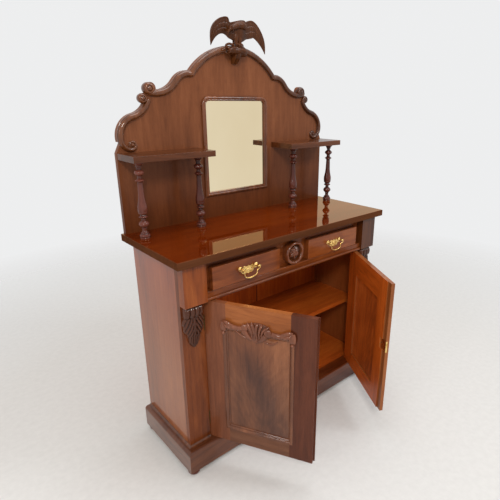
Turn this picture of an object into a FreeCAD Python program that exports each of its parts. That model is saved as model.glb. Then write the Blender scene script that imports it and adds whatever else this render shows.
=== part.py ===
import FreeCAD, Part
import math
import os

# Mahogany chiffonier: two drawers over a two-door cupboard, with a scrolled mirror back.
# Millimetres. X runs to the right, Y to the back, Z up from the floor.
# Everything is drawn in bench coordinates: X 0 on the centre line and Y 0 at the front edge
# of the top board. save() then moves it so that Y 0 is the middle of the whole footprint.

V = FreeCAD.Vector

# ---------------------------------------------------------------- driving dimensions
# top board
TOP_WIDTH = 1117.0
TOP_END_OVERHANG = 27.5
TOP_DEPTH = 438.0
TOP_THICK = 28.0
TOP_HEIGHT = 912.0
TOP_ARRIS = 2.0

# plinth
FOOT_HEIGHT = 20.0
FOOT_RADIUS = 25.0
FOOT_INSET_X = 27.0
FOOT_INSET_Y = 26.0
PLINTH_PROUD = 25.0
PLINTH_SETBACK = 20.0
PLINTH_BOARD_HEIGHT = 78.0
PLINTH_BOARD_THICK = 22.0
CAP_THICK = 15.0
CAP_ROUND = 13.0
CAP_FRONT_DEPTH = 90.0
CAP_SIDE_DEPTH = 66.0
COVE_SIZE = 10.0
PLINTH_REAR_OVERHANG = 4.0

# carcass
CARCASS_SETBACK_REAR = 38.0
SIDE_THICK = 22.0
PILASTER_SETBACK = 56.0
PILASTER_WIDTH = 93.0
PILASTER_THICK = 22.0
BOTTOM_THICK = 16.0
BACK_THICK = 12.0
BACK_PLANKS = 5
BACK_JOINT = 0.6
SHELF_TOP = 434.0
SHELF_THICK = 22.0
SHELF_SETBACK = 110.0
SHELF_END_GAP = 0.3
BEARER_WIDTH = 18.0
BEARER_HEIGHT = 22.0

# frieze
BLOCK_SETBACK = 21.0
FRIEZE_DEPTH = 186.0
BLOCK_RAISE = 4.0
RAIL_THICK = 13.0
RAIL_SETBACK = 27.0
RAIL_DEPTH = 73.0
BAND_HEIGHT = 21.0
BAND_SETBACK = 34.0
TOP_RAIL_HEIGHT = 34.0
CENTRE_UPRIGHT_WIDTH = 162.0
END_UPRIGHT_WIDTH = 30.0
ROUNDEL_RADIUS = 50.0
ROUNDEL_PROUD = 32.0
ROUNDEL_RIM = 8.0
ROUNDEL_BOSS = 18.0
ROUNDEL_DROP = 101.5
RUNNER_OVERLAP = 26.0
GUIDE_HEIGHT = 24.0

# corbels
CORBEL_WIDTH = 84.0
CORBEL_HEIGHT = 176.0
CORBEL_PROUD = 32.0
CORBEL_TIP = 9.0
CORBEL_OFFSET = 3.0

# drawers
DRAWER_SETBACK = 33.0
DRAWER_GAP = 1.5
DRAWER_FRONT_THICK = 40.0
DRAWER_ARRIS = 1.5
DRAWER_SIDE_THICK = 10.0
DRAWER_SIDE_HEIGHT = 76.0
DRAWER_BOX_DEPTH = 300.0
DRAWER_BOTTOM_THICK = 6.0
DRAWER_BOTTOM_RAISE = 8.0
SLIDE_CLEARANCE = 0.3

# drop handles
HANDLE_DROP = 100.0
POST_SPACING = 76.0
POST_RADIUS = 3.4
POST_HEAD_RADIUS = 5.6
POST_REACH = 17.0
PLATE_OVERHANG = 8.0
PLATE_HEIGHT = 34.0
PLATE_DROP = 9.0
PLATE_THICK = 1.8
BAIL_RADIUS = 2.4
BAIL_PIN_RADIUS = 1.9
BAIL_PIN_CLEARANCE = 0.05
BAIL_OVERHANG = 8.0
BAIL_LEG = 4.0
# (radius, signed turn) down one side of the swan neck, before the bottom bow
BAIL_SIDE_ARCS = ((10.0, 75.0), (12.0, -80.0), (13.0, 65.0))
PIERCING_RADIUS = 3.2

# doors
DOOR_BOTTOM = 114.5
DOOR_TOP_GAP = 1.5
DOOR_THICK = 20.0
DOOR_SETBACK = 60.0
DOOR_CENTRE_GAP = 1.4
DOOR_JOINT_SHIFT = 4.0
DOOR_OPEN_LEFT = 62.0
DOOR_OPEN_RIGHT = 60.0
STILE_WIDTH = 89.0
FREE_STILE_WIDTH = 92.6
TOP_RAIL_OF_DOOR = 106.0
BOTTOM_RAIL_OF_DOOR = 76.0
PANEL_THICK = 8.0
PANEL_SINK = 6.5
PANEL_GROOVE = 7.0
MOULDING_WIDTH = 14.0
MOULDING_PROUD = 4.0
MOULDING_DROP = 5.0
STRIP_WIDTH = 16.0
STRIP_THICK = 4.0
STRIP_REACH = 5.0
REBATE_WIDTH = 26.0
REBATE_DEPTH = 5.0

# carved crest on each door
SHELL_PROUD = 14.0
CREST_SEAT = 0.1
EAR_PROUD = 12.0
# outlines in millimetres from the middle of the moulding's upper edge
SHELL_OUTLINE = ((-64, 14), (-58, 30), (-42, 43), (-25, 46), (-6, 50), (15, 45), (42, 40),
                 (57, 31), (60, 13), (47, -5), (26, -14), (7, -19), (-9, -28), (-25, -18),
                 (-46, -7), (-60, 4))
EAR_OUTLINE = ((56, 26), (94, 26), (110, 34), (126, 40), (139, 40), (142, 24), (142, -5),
               (140, -22), (131, -30), (122, -22), (120, -5), (118, 16), (108, 8), (86, 10),
               (56, 10))

# hinges
PIN_SETBACK = 58.8
PIN_RADIUS = 1.5
PIN_CLEARANCE = 0.05
KNUCKLE_RADIUS = 3.2
KNUCKLE_ROOM = 0.4
PIN_TO_PILASTER = 1.0
PIN_TO_DOOR = 1.0
LEAF_THICK = 0.9
LEAF_WIDTH = 18.0
LEAF_KEEP_OFF = 4.0
HINGE_HEIGHT = 63.0
HINGE_INSET = 60.0
KNUCKLE_GAP = 0.3

# lock
LOCK_HEIGHT = 410.0
LOCK_TALL = 52.0
LOCK_WIDE = 50.0
LOCK_POCKET_DEPTH = 12.5
BOLT_TALL = 16.0
BOLT_THICK = 4.0
BOLT_LONG = 34.0
BOLT_CLEARANCE = 0.2
BOLT_TRAVEL = 9.0

# superstructure, with its heights above the top board
SHOULDER_RISE = 310.0
PANEL_WIDTH = 1094.0
BACK_PANEL_THICK = 20.0
MOULD_WIDTH = 26.0
SCROLL_WIDTH = 23.0
MOULD_PROUD = 13.0
CREST_RADIUS = 272.0
CREST_CENTRE_RISE = 428.0
CUSP_ANGLE = 38.4
CREST_START = (218.0, 596.0, 5.0)
CREST_ARCS = ((75.0, -58.0), (112.0, 72.0))
CREST_BALL = (391.0, 539.0, 22.0)
SHOULDER_START = (404.6, 499.1, -70.3)
SHOULDER_ARCS = ((93.8, 56.0), (76.4, -85.7), (38.0, -88.2), (16.0, -177.0))
SHOULDER_BALL = (420.0, 504.0, 18.0)
VOLUTE_EYE = 9.0
BALL_PROUD = 20.0

# mirror
MIRROR_WIDTH = 310.0
MIRROR_HEIGHT = 378.0
MIRROR_RISE = 117.0
MIRROR_CORNER = 14.0
MIRROR_FRAME_WIDTH = 20.0
MIRROR_FRAME_PROUD = 12.0
MIRROR_LAP = 5.0
MIRROR_CLEARANCE = 1.0
GLASS_THICK = 4.0
BACKBOARD_THICK = 6.0

# small shelves and their spindles
SMALL_SHELF_INNER = 207.0
SMALL_SHELF_OUTER = 546.0
SMALL_SHELF_THICK = 23.0
SMALL_SHELF_RISE = 311.0
SMALL_SHELF_SETBACK = 277.0
SPINDLE_X = (511.0, 262.0)
SPINDLE_SETBACK = 323.0

# eagle on its perch
PERCH_HALF_WIDTH = 46.0
PERCH_RISE = 4.0
PERCH_DEPTH = 44.0
EAGLE_X = 4.0
EAGLE_SETBACK = 392.0
WING_THICK = 12.0
BODY_RADIUS = 19.0
PENDANT = (-18.0, 11.0)
PENDANT_DROP = 57.0
LOG_RADIUS = 14.0
LOG_END = 58.0
# (radius, across, forward, height) from between the feet: neck, throat and head
NECK = ((15.0, -18.0, 8.0, 66.0), (12.5, -34.0, 10.0, 60.0), (11.0, -49.0, 10.0, 52.0))
# wing outlines in millimetres from between the feet
RIGHT_WING = ((8, 84), (30, 91), (44, 87), (53, 94), (74, 93), (96, 80), (118, 56), (133, 31),
              (141, 5), (143, -27), (129, -9), (110, 10), (89, 25), (67, 26), (45, 20), (27, 14),
              (8, 12))
LEFT_WING = ((-8, 84), (-30, 78), (-46, 77), (-51, 94), (-70, 95), (-95, 85), (-118, 67),
             (-131, 48), (-137, 27), (-136, -11), (-124, 4), (-110, 19), (-90, 30), (-73, 32),
             (-60, 25), (-43, 17), (-8, 12))

# ---------------------------------------------------------------- derived places
BASE = FOOT_HEIGHT
PLINTH_BACK_Y = TOP_DEPTH - CARCASS_SETBACK_REAR + PLINTH_REAR_OVERHANG
CAP_BOTTOM = BASE + PLINTH_BOARD_HEIGHT
CAP_TOP = CAP_BOTTOM + CAP_THICK
HALF_CARCASS = TOP_WIDTH / 2 - TOP_END_OVERHANG
HALF_PLINTH = HALF_CARCASS + PLINTH_PROUD
INNER_PILASTER = HALF_CARCASS - PILASTER_WIDTH
INNER_SIDE = HALF_CARCASS - SIDE_THICK
CARCASS_BACK_Y = TOP_DEPTH - CARCASS_SETBACK_REAR
PILASTER_BACK_Y = PILASTER_SETBACK + PILASTER_THICK
INNER_BACK_Y = CARCASS_BACK_Y - BACK_THICK
TOP_UNDERSIDE = TOP_HEIGHT - TOP_THICK
RAIL_BOTTOM = TOP_HEIGHT - FRIEZE_DEPTH
BLOCK_BOTTOM = RAIL_BOTTOM + BLOCK_RAISE
ROUNDEL_HEIGHT = TOP_HEIGHT - ROUNDEL_DROP
HANDLE_HEIGHT = TOP_HEIGHT - HANDLE_DROP
DOOR_TOP = RAIL_BOTTOM - DOOR_TOP_GAP
SHOULDER_HEIGHT = TOP_HEIGHT + SHOULDER_RISE
CREST_CENTRE_HEIGHT = TOP_HEIGHT + CREST_CENTRE_RISE
MIRROR_BOTTOM = TOP_HEIGHT + MIRROR_RISE
SMALL_SHELF_TOP = TOP_HEIGHT + SMALL_SHELF_RISE
DOOR_BACK_Y = DOOR_SETBACK + DOOR_THICK
RAIL_TOP = RAIL_BOTTOM + RAIL_THICK
TOP_RAIL_BOTTOM = TOP_UNDERSIDE - TOP_RAIL_HEIGHT
BAND_TOP = RAIL_TOP + BAND_HEIGHT
OPENING_OUTER = INNER_PILASTER - END_UPRIGHT_WIDTH
OPENING_INNER = CENTRE_UPRIGHT_WIDTH / 2
PIN_X = INNER_PILASTER - PIN_TO_PILASTER
REACH_LEFT = PIN_X - DOOR_JOINT_SHIFT - DOOR_CENTRE_GAP
REACH_RIGHT = PIN_X + DOOR_JOINT_SHIFT - DOOR_CENTRE_GAP
DOOR_FIELD_WIDTH = REACH_LEFT - PIN_TO_DOOR - STILE_WIDTH - FREE_STILE_WIDTH
DOOR_FACE = DOOR_SETBACK - PIN_SETBACK
PANEL_FRONT_Y = TOP_DEPTH - BACK_PANEL_THICK


def front_reach(reach, angle):
    turn = math.radians(angle)
    return reach * math.sin(turn) - DOOR_FACE * math.cos(turn)


STRIP_Y = DOOR_FACE + DOOR_THICK - REBATE_DEPTH + 0.5
STRIP_TURN = math.radians(DOOR_OPEN_LEFT)
STRIP_FRONT = (REACH_LEFT + STRIP_REACH) * math.sin(STRIP_TURN) - STRIP_Y * math.cos(STRIP_TURN)
FRONT_Y = PIN_SETBACK - max(front_reach(REACH_LEFT, DOOR_OPEN_LEFT),
                            front_reach(REACH_RIGHT, DOOR_OPEN_RIGHT), STRIP_FRONT)
ORIGIN_Y = (FRONT_Y + TOP_DEPTH) / 2


# ---------------------------------------------------------------- helpers
def box(x0, y0, z0, x1, y1, z1):
    return Part.makeBox(x1 - x0, y1 - y0, z1 - z0, V(x0, y0, z0))


def face_of(points):
    return Part.Face(Part.makePolygon([V(*p) for p in points] + [V(*points[0])]))


def prism_z(points, z0, z1):
    return face_of([(x, y, z0) for x, y in points]).extrude(V(0, 0, z1 - z0))


def prism_y(points, y0, y1):
    return face_of([(x, y0, z) for x, z in points]).extrude(V(0, y1 - y0, 0))


def prism_x(points, x0, x1):
    return face_of([(x0, y, z) for y, z in points]).extrude(V(x1 - x0, 0, 0))


def cylinder_z(x, y, radius, z0, z1):
    return Part.makeCylinder(radius, z1 - z0, V(x, y, z0))


def cylinder_y(x, z, radius, y0, y1):
    return Part.makeCylinder(radius, y1 - y0, V(x, y0, z), V(0, 1, 0))


def cylinder_x(y, z, radius, x0, x1):
    return Part.makeCylinder(radius, x1 - x0, V(x0, y, z), V(1, 0, 0))


def mirrored(shape):
    return shape.mirror(V(0, 0, 0), V(1, 0, 0))


def shifted(solids, dx):
    copies = [solid.copy() for solid in solids]
    for copy in copies:
        copy.translate(V(dx, 0, 0))
    return copies


def relief(outline, levels):
    """A carved form as a stack of one outline, each level (scale, y) nearer to the viewer."""
    cx = sum(x for x, z in outline) / len(outline)
    cz = sum(z for x, z in outline) / len(outline)
    wires = []
    for scale, y in levels:
        points = [V(cx + scale * (x - cx), y, cz + scale * (z - cz)) for x, z in outline]
        wires.append(Part.makePolygon(points + points[:1]))
    return Part.makeLoft(wires, True, True)


def round_edges(shape, radius, wanted):
    edges = [e for e in shape.Edges if wanted(e)]
    return shape.makeFillet(radius, edges)


def along(edge, axis):
    size = (edge.BoundBox.XLength, edge.BoundBox.YLength, edge.BoundBox.ZLength)
    return all(size[i] < 1e-4 for i in range(3) if i != axis)


def turned(profile, x, y):
    """Solid of revolution about a vertical axis: (radius, height) points, with arcs given as
    (radius, height, bulge), where bulge moves the middle of the run outwards."""
    edges = []
    start = V(profile[0][0], 0, profile[0][1])
    edges.append(Part.LineSegment(V(0, 0, start.z), start).toShape())
    for point in profile[1:]:
        end = V(point[0], 0, point[1])
        if len(point) == 2:
            edges.append(Part.LineSegment(start, end).toShape())
        else:
            middle = (start + end) * 0.5 + V(point[2], 0, 0)
            edges.append(Part.Arc(start, middle, end).toShape())
        start = end
    edges.append(Part.LineSegment(start, V(0, 0, start.z)).toShape())
    edges.append(Part.LineSegment(V(0, 0, start.z), V(0, 0, profile[0][1])).toShape())
    shape = Part.Face(Part.Wire(edges)).revolve(V(0, 0, 0), V(0, 0, 1), 360)
    shape.translate(V(x, y, 0))
    return shape


def arc_chain(start, arcs):
    """Tangent arcs in the XZ plane from (x, z, heading): each arc is (radius, signed turn)."""
    x, z, heading = start
    turn = math.radians(heading)
    chain = []
    for radius, sweep in arcs:
        side = math.copysign(1.0, sweep)
        cx = x - side * radius * math.sin(turn)
        cz = z + side * radius * math.cos(turn)
        first = math.atan2(z - cz, x - cx)
        chain.append((cx, cz, radius, first, math.radians(sweep)))
        turn += math.radians(sweep)
        x = cx + side * radius * math.sin(turn)
        z = cz - side * radius * math.cos(turn)
    return chain


def arc_point(arc, share):
    cx, cz, radius, first, sweep = arc
    angle = first + sweep * share
    return cx + radius * math.cos(angle), cz + radius * math.sin(angle)


def arc_edge(arc, y):
    ends = [arc_point(arc, share) for share in (0.0, 0.5, 1.0)]
    return Part.Arc(*[V(x, y, z) for x, z in ends]).toShape()


def swept_arc(arc, section):
    """Revolves a section, given as a face builder for a point and its outward direction."""
    cx, cz, radius, first, sweep = arc
    outward = V(math.cos(first), 0, math.sin(first))
    centre = V(cx, 0, cz)
    face = section(centre + outward * radius, outward)
    axis = V(0, -1, 0) if sweep > 0 else V(0, 1, 0)
    return face.revolve(centre, axis, abs(math.degrees(sweep)))


def band_section(width, y0, y1):
    def build(point, outward):
        side = outward * (width / 2)
        low = V(0, y0, 0)
        high = V(0, y1, 0)
        corners = [point - side + low, point + side + low, point + side + high, point - side + high]
        return Part.Face(Part.makePolygon(corners + [corners[0]]))
    return build


def half_round_section(width, proud, y_back):
    def build(point, outward):
        side = outward * (width / 2)
        back = V(0, y_back, 0)
        left = point - side + back
        right = point + side + back
        crown = point + V(0, y_back - proud, 0)
        bow = Part.Arc(left, crown, right).toShape()
        flat = Part.LineSegment(right, left).toShape()
        return Part.Face(Part.Wire([bow, flat]))
    return build


def wire_section(radius, y):
    def build(point, outward):
        tangent = outward.cross(V(0, 1, 0))
        return Part.Face(Part.Wire(Part.makeCircle(radius, point + V(0, y, 0), tangent)))
    return build


def fused(shapes):
    body = shapes[0]
    for shape in shapes[1:]:
        body = body.fuse(shape)
    return body.removeSplitter()


def trapezoid_frame(x0, x1, z0, z1, width, y0, y1):
    """Four mitred lengths round a rectangle in the XZ plane."""
    outer = [(x0, z0), (x1, z0), (x1, z1), (x0, z1)]
    inner = [(x0 + width, z0 + width), (x1 - width, z0 + width),
             (x1 - width, z1 - width), (x0 + width, z1 - width)]
    lengths = []
    for i in range(4):
        j = (i + 1) % 4
        lengths.append(prism_y([outer[i], outer[j], inner[j], inner[i]], y0, y1))
    return lengths


def save(name, solids):
    shape = solids[0] if len(solids) == 1 else Part.makeCompound(solids)
    shape = shape.copy()
    shape.translate(V(0, -ORIGIN_Y, 0))
    shape.exportStep("parts/" + name + ".step")


# ---------------------------------------------------------------- plinth
def make_feet():
    profile = [(FOOT_RADIUS - 5, 0), (FOOT_RADIUS - 4, FOOT_HEIGHT, 4.0)]
    x = HALF_PLINTH - FOOT_INSET_X
    spots = [(sx * x, y) for sx in (-1, 1)
             for y in (PLINTH_SETBACK + FOOT_INSET_Y, PLINTH_BACK_Y - FOOT_INSET_Y)]
    save("bun_feet", [turned(profile, sx, sy) for sx, sy in spots])


def make_plinth():
    t = PLINTH_BOARD_THICK
    w = HALF_PLINTH
    y0 = PLINTH_SETBACK
    y1 = PLINTH_BACK_Y
    front = prism_z([(-w, y0), (w, y0), (w - t, y0 + t), (-w + t, y0 + t)], BASE, CAP_BOTTOM)
    side = prism_z([(w, y0), (w, y1), (w - t, y1), (w - t, y0 + t)], BASE, CAP_BOTTOM)
    back = box(-w + t, y1 - t, BASE, w - t, y1, CAP_BOTTOM)
    save("plinth_front", [front])
    save("plinth_returns", [mirrored(side), side, back])

    d = CAP_FRONT_DEPTH
    s = CAP_SIDE_DEPTH
    cap = prism_z([(-w, y0), (w, y0), (w - s, y0 + s), (w - s, y0 + d), (-w + s, y0 + d),
                   (-w + s, y0 + s)], CAP_BOTTOM, CAP_TOP)
    cap = round_edges(cap, CAP_ROUND, lambda e: along(e, 0)
                      and e.BoundBox.YMax < y0 + 1 and e.BoundBox.ZMin > CAP_TOP - 1)
    cap_side = prism_z([(w, y0), (w, y1), (w - s, y1), (w - s, y0 + s)], CAP_BOTTOM, CAP_TOP)
    cap_side = round_edges(cap_side, CAP_ROUND, lambda e: along(e, 1)
                           and e.BoundBox.XMin > w - 1 and e.BoundBox.ZMin > CAP_TOP - 1)
    cap_back = box(-w + s, y1 - t, CAP_BOTTOM, w - s, y1, CAP_TOP)
    save("plinth_cap", [mirrored(cap_side), cap, cap_side, cap_back])

    c = COVE_SIZE
    z = CAP_TOP
    x = HALF_CARCASS
    yf = PILASTER_SETBACK
    run = prism_z([(INNER_PILASTER, yf - c), (x + c, yf - c), (x, yf), (INNER_PILASTER, yf)], z, z + c)
    run = run.cut(cylinder_x(yf - c, z + c, c, INNER_PILASTER - 1, x + 2 * c))
    flank = prism_z([(x + c, yf - c), (x + c, CARCASS_BACK_Y), (x, CARCASS_BACK_Y), (x, yf)], z, z + c)
    flank = flank.cut(cylinder_y(x + c, z + c, c, yf - 2 * c, CARCASS_BACK_Y + 1))
    save("base_cove_mouldings", [mirrored(run), run, mirrored(flank), flank])


# ---------------------------------------------------------------- carcass
def hinge_centres():
    return (DOOR_BOTTOM + HINGE_INSET + HINGE_HEIGHT / 2, DOOR_TOP - HINGE_INSET - HINGE_HEIGHT / 2)


def hinge_gain(zc):
    room = KNUCKLE_ROOM
    return cylinder_z(0, 0, KNUCKLE_RADIUS + room, zc - HINGE_HEIGHT / 2 - room,
                      zc + HINGE_HEIGHT / 2 + room)


def make_carcass():
    side = box(INNER_SIDE, PILASTER_BACK_Y, CAP_TOP, HALF_CARCASS, CARCASS_BACK_Y, TOP_UNDERSIDE)
    save("side_panel_left", [mirrored(side)])
    save("side_panel_right", [side])

    pilaster = box(INNER_PILASTER, PILASTER_SETBACK, CAP_TOP, HALF_CARCASS, PILASTER_BACK_Y,
                   TOP_UNDERSIDE)
    for zc in hinge_centres():
        gain = hinge_gain(zc)
        gain.translate(V(PIN_X, PIN_SETBACK, 0))
        pilaster = pilaster.cut(gain)
    save("pilaster_left", [mirrored(pilaster)])
    save("pilaster_right", [pilaster])

    bottom = box(-INNER_SIDE, DOOR_BACK_Y + 1, CAP_TOP, INNER_SIDE, INNER_BACK_Y,
                 CAP_TOP + BOTTOM_THICK)
    save("bottom_board", [bottom])

    plank = 2 * INNER_SIDE / BACK_PLANKS
    planks = [box(-INNER_SIDE + i * plank + (BACK_JOINT if i else 0), INNER_BACK_Y, CAP_TOP,
                  -INNER_SIDE + (i + 1) * plank, CARCASS_BACK_Y, TOP_UNDERSIDE)
              for i in range(BACK_PLANKS)]
    save("back_boards", planks)

    x = INNER_SIDE - SHELF_END_GAP
    shelf = box(-x, SHELF_SETBACK, SHELF_TOP - SHELF_THICK, x, INNER_BACK_Y, SHELF_TOP)
    save("cupboard_shelf", [shelf])
    bearer = box(INNER_SIDE - BEARER_WIDTH, SHELF_SETBACK + 6, SHELF_TOP - SHELF_THICK - BEARER_HEIGHT,
                 INNER_SIDE, INNER_BACK_Y, SHELF_TOP - SHELF_THICK)
    save("shelf_bearers", [mirrored(bearer), bearer])


def make_top():
    top = box(-TOP_WIDTH / 2, 0, TOP_UNDERSIDE, TOP_WIDTH / 2, TOP_DEPTH, TOP_HEIGHT)
    top = round_edges(top, TOP_ARRIS, lambda e: not along(e, 2)
                      and not (along(e, 0) and e.BoundBox.YMin > TOP_DEPTH - 1))
    save("top_board", [top])


# ---------------------------------------------------------------- frieze
def make_frieze():
    block = box(INNER_PILASTER, BLOCK_SETBACK, BLOCK_BOTTOM, HALF_CARCASS, PILASTER_SETBACK,
                TOP_UNDERSIDE)
    save("frieze_blocks", [mirrored(block), block])

    nose = RAIL_THICK / 2
    rail = box(-INNER_PILASTER, RAIL_SETBACK + nose, RAIL_BOTTOM, INNER_PILASTER,
               RAIL_SETBACK + RAIL_DEPTH, RAIL_TOP)
    rail = rail.fuse(cylinder_x(RAIL_SETBACK + nose, RAIL_BOTTOM + nose, nose, -INNER_PILASTER,
                                INNER_PILASTER))
    save("drawer_rail", [rail.removeSplitter()])
    band = box(-INNER_PILASTER, BAND_SETBACK, RAIL_TOP, INNER_PILASTER, PILASTER_BACK_Y, BAND_TOP)
    band = round_edges(band, 2.0, lambda e: along(e, 0) and e.BoundBox.YMax < BAND_SETBACK + 1)

    save("top_rail", [box(-INNER_PILASTER, PILASTER_SETBACK, TOP_RAIL_BOTTOM, INNER_PILASTER,
                          PILASTER_BACK_Y, TOP_UNDERSIDE)])
    upright = box(OPENING_OUTER, PILASTER_SETBACK, BAND_TOP, INNER_PILASTER, PILASTER_BACK_Y,
                  TOP_RAIL_BOTTOM)
    centre = box(-OPENING_INNER, PILASTER_SETBACK, BAND_TOP, OPENING_INNER, PILASTER_BACK_Y,
                 TOP_RAIL_BOTTOM)
    save("frieze_framing", [band, mirrored(upright), centre, upright])

    r = ROUNDEL_RADIUS
    rim = ROUNDEL_RIM
    bow = [V(r, 0, ROUNDEL_PROUD - rim), V(r - rim, 0, ROUNDEL_PROUD),
           V(r - 2 * rim, 0, ROUNDEL_PROUD - rim)]
    floor = ROUNDEL_PROUD / 3
    boss = ROUNDEL_BOSS
    edges = [Part.LineSegment(V(0, 0, 0), V(r, 0, 0)).toShape(),
             Part.LineSegment(V(r, 0, 0), bow[0]).toShape(),
             Part.Arc(*bow).toShape(),
             Part.LineSegment(bow[2], V(boss + 3, 0, floor)).toShape(),
             Part.LineSegment(V(boss + 3, 0, floor), V(0, 0, floor)).toShape(),
             Part.LineSegment(V(0, 0, floor), V(0, 0, 0)).toShape()]
    roundel = Part.Face(Part.Wire(edges)).revolve(V(0, 0, 0), V(0, 0, 1), 360)
    dome = Part.makeSphere(boss, V(0, 0, floor)).common(box(-r, -r, floor - 1, r, r, 2 * r))
    roundel = roundel.fuse(dome).removeSplitter()
    roundel.rotate(V(0, 0, 0), V(1, 0, 0), 90)
    roundel.translate(V(0, PILASTER_SETBACK, ROUNDEL_HEIGHT))
    save("frieze_roundel", [roundel])

    runner_z = BAND_TOP - RAIL_THICK
    outer_runner = box(OPENING_OUTER - RUNNER_OVERLAP, PILASTER_BACK_Y, runner_z, INNER_SIDE,
                       INNER_BACK_Y, BAND_TOP)
    centre_runner = box(-OPENING_INNER - RUNNER_OVERLAP, PILASTER_BACK_Y, runner_z,
                        OPENING_INNER + RUNNER_OVERLAP, INNER_BACK_Y, BAND_TOP)
    outer_guide = box(OPENING_OUTER, PILASTER_BACK_Y, BAND_TOP, INNER_PILASTER, INNER_BACK_Y,
                      BAND_TOP + GUIDE_HEIGHT)
    centre_guide = box(-OPENING_INNER, PILASTER_BACK_Y, BAND_TOP, OPENING_INNER, INNER_BACK_Y,
                       BAND_TOP + GUIDE_HEIGHT)
    save("drawer_runners", [mirrored(outer_runner), centre_runner, outer_runner,
                            mirrored(outer_guide), centre_guide, outer_guide])


def make_corbels():
    """Acanthus bracket: a side profile with a scrolled head, cut to a leaf outline."""
    w = CORBEL_WIDTH
    h = CORBEL_HEIGHT
    x = HALF_CARCASS - PILASTER_WIDTH / 2 + CORBEL_OFFSET
    z1 = BLOCK_BOTTOM
    y1 = PILASTER_SETBACK
    head = CORBEL_PROUD / 2
    throat = Part.BSplineCurve()
    throat.interpolate([V(0, y1 - head, z1), V(0, y1 - 2 * head, z1 - head),
                        V(0, y1 - 1.5 * head, z1 - 2.6 * head),
                        V(0, y1 - 1.45 * head, z1 - h * 0.5), V(0, y1 - CORBEL_TIP * 2, z1 - h * 0.8),
                        V(0, y1 - CORBEL_TIP, z1 - h)])
    edges = [Part.LineSegment(V(0, y1, z1), V(0, y1 - head, z1)).toShape(), throat.toShape(),
             Part.LineSegment(V(0, y1 - CORBEL_TIP, z1 - h), V(0, y1, z1 - h)).toShape(),
             Part.LineSegment(V(0, y1, z1 - h), V(0, y1, z1)).toShape()]
    side = Part.Face(Part.Wire(edges)).extrude(V(w, 0, 0))
    side.translate(V(x - w / 2, 0, 0))
    half = [(0.0, 0.0), (0.42, 0.0), (0.46, 0.12), (0.5, 0.42), (0.42, 0.66), (0.26, 0.84), (0.06, 1.0)]
    right = [(x + w * a, z1 - h * b) for a, b in half]
    left = [(x - w * a, z1 - h * b) for a, b in reversed(half[1:])]
    leaf = prism_y(right + left, y1 - 3 * head, y1)
    corbel = side.common(leaf)
    save("corbel_left", [mirrored(corbel)])
    save("corbel_right", [corbel])


# ---------------------------------------------------------------- drawers and handles
def make_drawer():
    """The right-hand drawer; the left one is the same, moved across."""
    x0 = OPENING_INNER + DRAWER_GAP
    x1 = OPENING_OUTER - DRAWER_GAP
    z0 = BAND_TOP + DRAWER_GAP
    z1 = TOP_RAIL_BOTTOM - DRAWER_GAP
    y0 = DRAWER_SETBACK
    y1 = y0 + DRAWER_FRONT_THICK
    front = box(x0, y0, z0, x1, y1, z1)
    front = round_edges(front, DRAWER_ARRIS, lambda e: e.BoundBox.YMax < y0 + 1)

    t = DRAWER_SIDE_THICK
    zb = BAND_TOP + SLIDE_CLEARANCE
    zt = zb + DRAWER_SIDE_HEIGHT
    ye = y1 + DRAWER_BOX_DEPTH
    near = box(x0, y1, zb, x0 + t, ye, zt)
    far = box(x1 - t, y1, zb, x1, ye, zt)
    back = box(x0 + t, ye - t, zb + DRAWER_BOTTOM_RAISE, x1 - t, ye, zt)
    floor_z = zb + DRAWER_BOTTOM_RAISE
    floor = box(x0 + t, y1, floor_z - DRAWER_BOTTOM_THICK, x1 - t, ye, floor_z)
    return front, [near, far, back, floor], (x0 + x1) / 2


def make_handle(x):
    """Plate with two posts, and the bail that hangs from them."""
    y = DRAWER_SETBACK
    z = HANDLE_HEIGHT
    half = POST_SPACING / 2
    y_pin = y - POST_REACH
    w = half + PLATE_OVERHANG
    h = PLATE_HEIGHT / 2
    wing = [(0, 0.95), (0.18, 0.75), (0.38, 0.95), (0.52, 0.62), (0.72, 0.58), (0.90, 0.80),
            (1.0, 0.55), (0.98, 0.15), (0.80, -0.05), (0.60, -0.02), (0.50, -0.35), (0.36, -0.75),
            (0.16, -0.75), (0, -1.0)]
    zp = z - PLATE_DROP
    outline = [(x + w * a, zp + h * b) for a, b in wing]
    outline += [(x - w * a, zp + h * b) for a, b in reversed(wing[1:-1])]
    plate = prism_y(outline, y - PLATE_THICK, y)
    for s in (-1, 1):
        piercing = cylinder_y(x + s * w * 0.32, zp, PIERCING_RADIUS, y - 2 * PLATE_THICK, y + 1)
        plate = plate.cut(piercing)
    for s in (-1, 1):
        plate = plate.fuse(cylinder_y(x + s * half, z, POST_RADIUS, y_pin, y))
        plate = plate.fuse(Part.makeSphere(POST_HEAD_RADIUS, V(x + s * half, y_pin, z)))
    hole = cylinder_x(y_pin, z, BAIL_PIN_RADIUS + BAIL_PIN_CLEARANCE, x - w - 20, x + w + 20)
    plate = plate.cut(hole)

    reach = half + BAIL_OVERHANG
    low = z - BAIL_LEG
    parts = []
    for s in (-1, 1):
        parts.append(Part.makeCylinder(BAIL_RADIUS, z - low + BAIL_RADIUS, V(x + s * reach, y_pin, low)))
        inner = half - POST_HEAD_RADIUS
        ends = sorted((x + s * inner, x + s * reach))
        parts.append(cylinder_x(y_pin, z, BAIL_PIN_RADIUS, ends[0], ends[1]))
    side = arc_chain((x - reach, low, -90.0), BAIL_SIDE_ARCS)
    bottom_turn = 90 - sum(arc[1] for arc in BAIL_SIDE_ARCS)
    end_x = arc_point(side[-1], 1.0)[0]
    bottom_radius = (x - end_x) / math.sin(math.radians(bottom_turn))
    arcs = BAIL_SIDE_ARCS + ((bottom_radius, 2 * bottom_turn),) + BAIL_SIDE_ARCS[::-1]
    chain = arc_chain((x - reach, low, -90.0), arcs)
    parts += [swept_arc(arc, wire_section(BAIL_RADIUS, y_pin)) for arc in chain]
    return plate, fused(parts)


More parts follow.
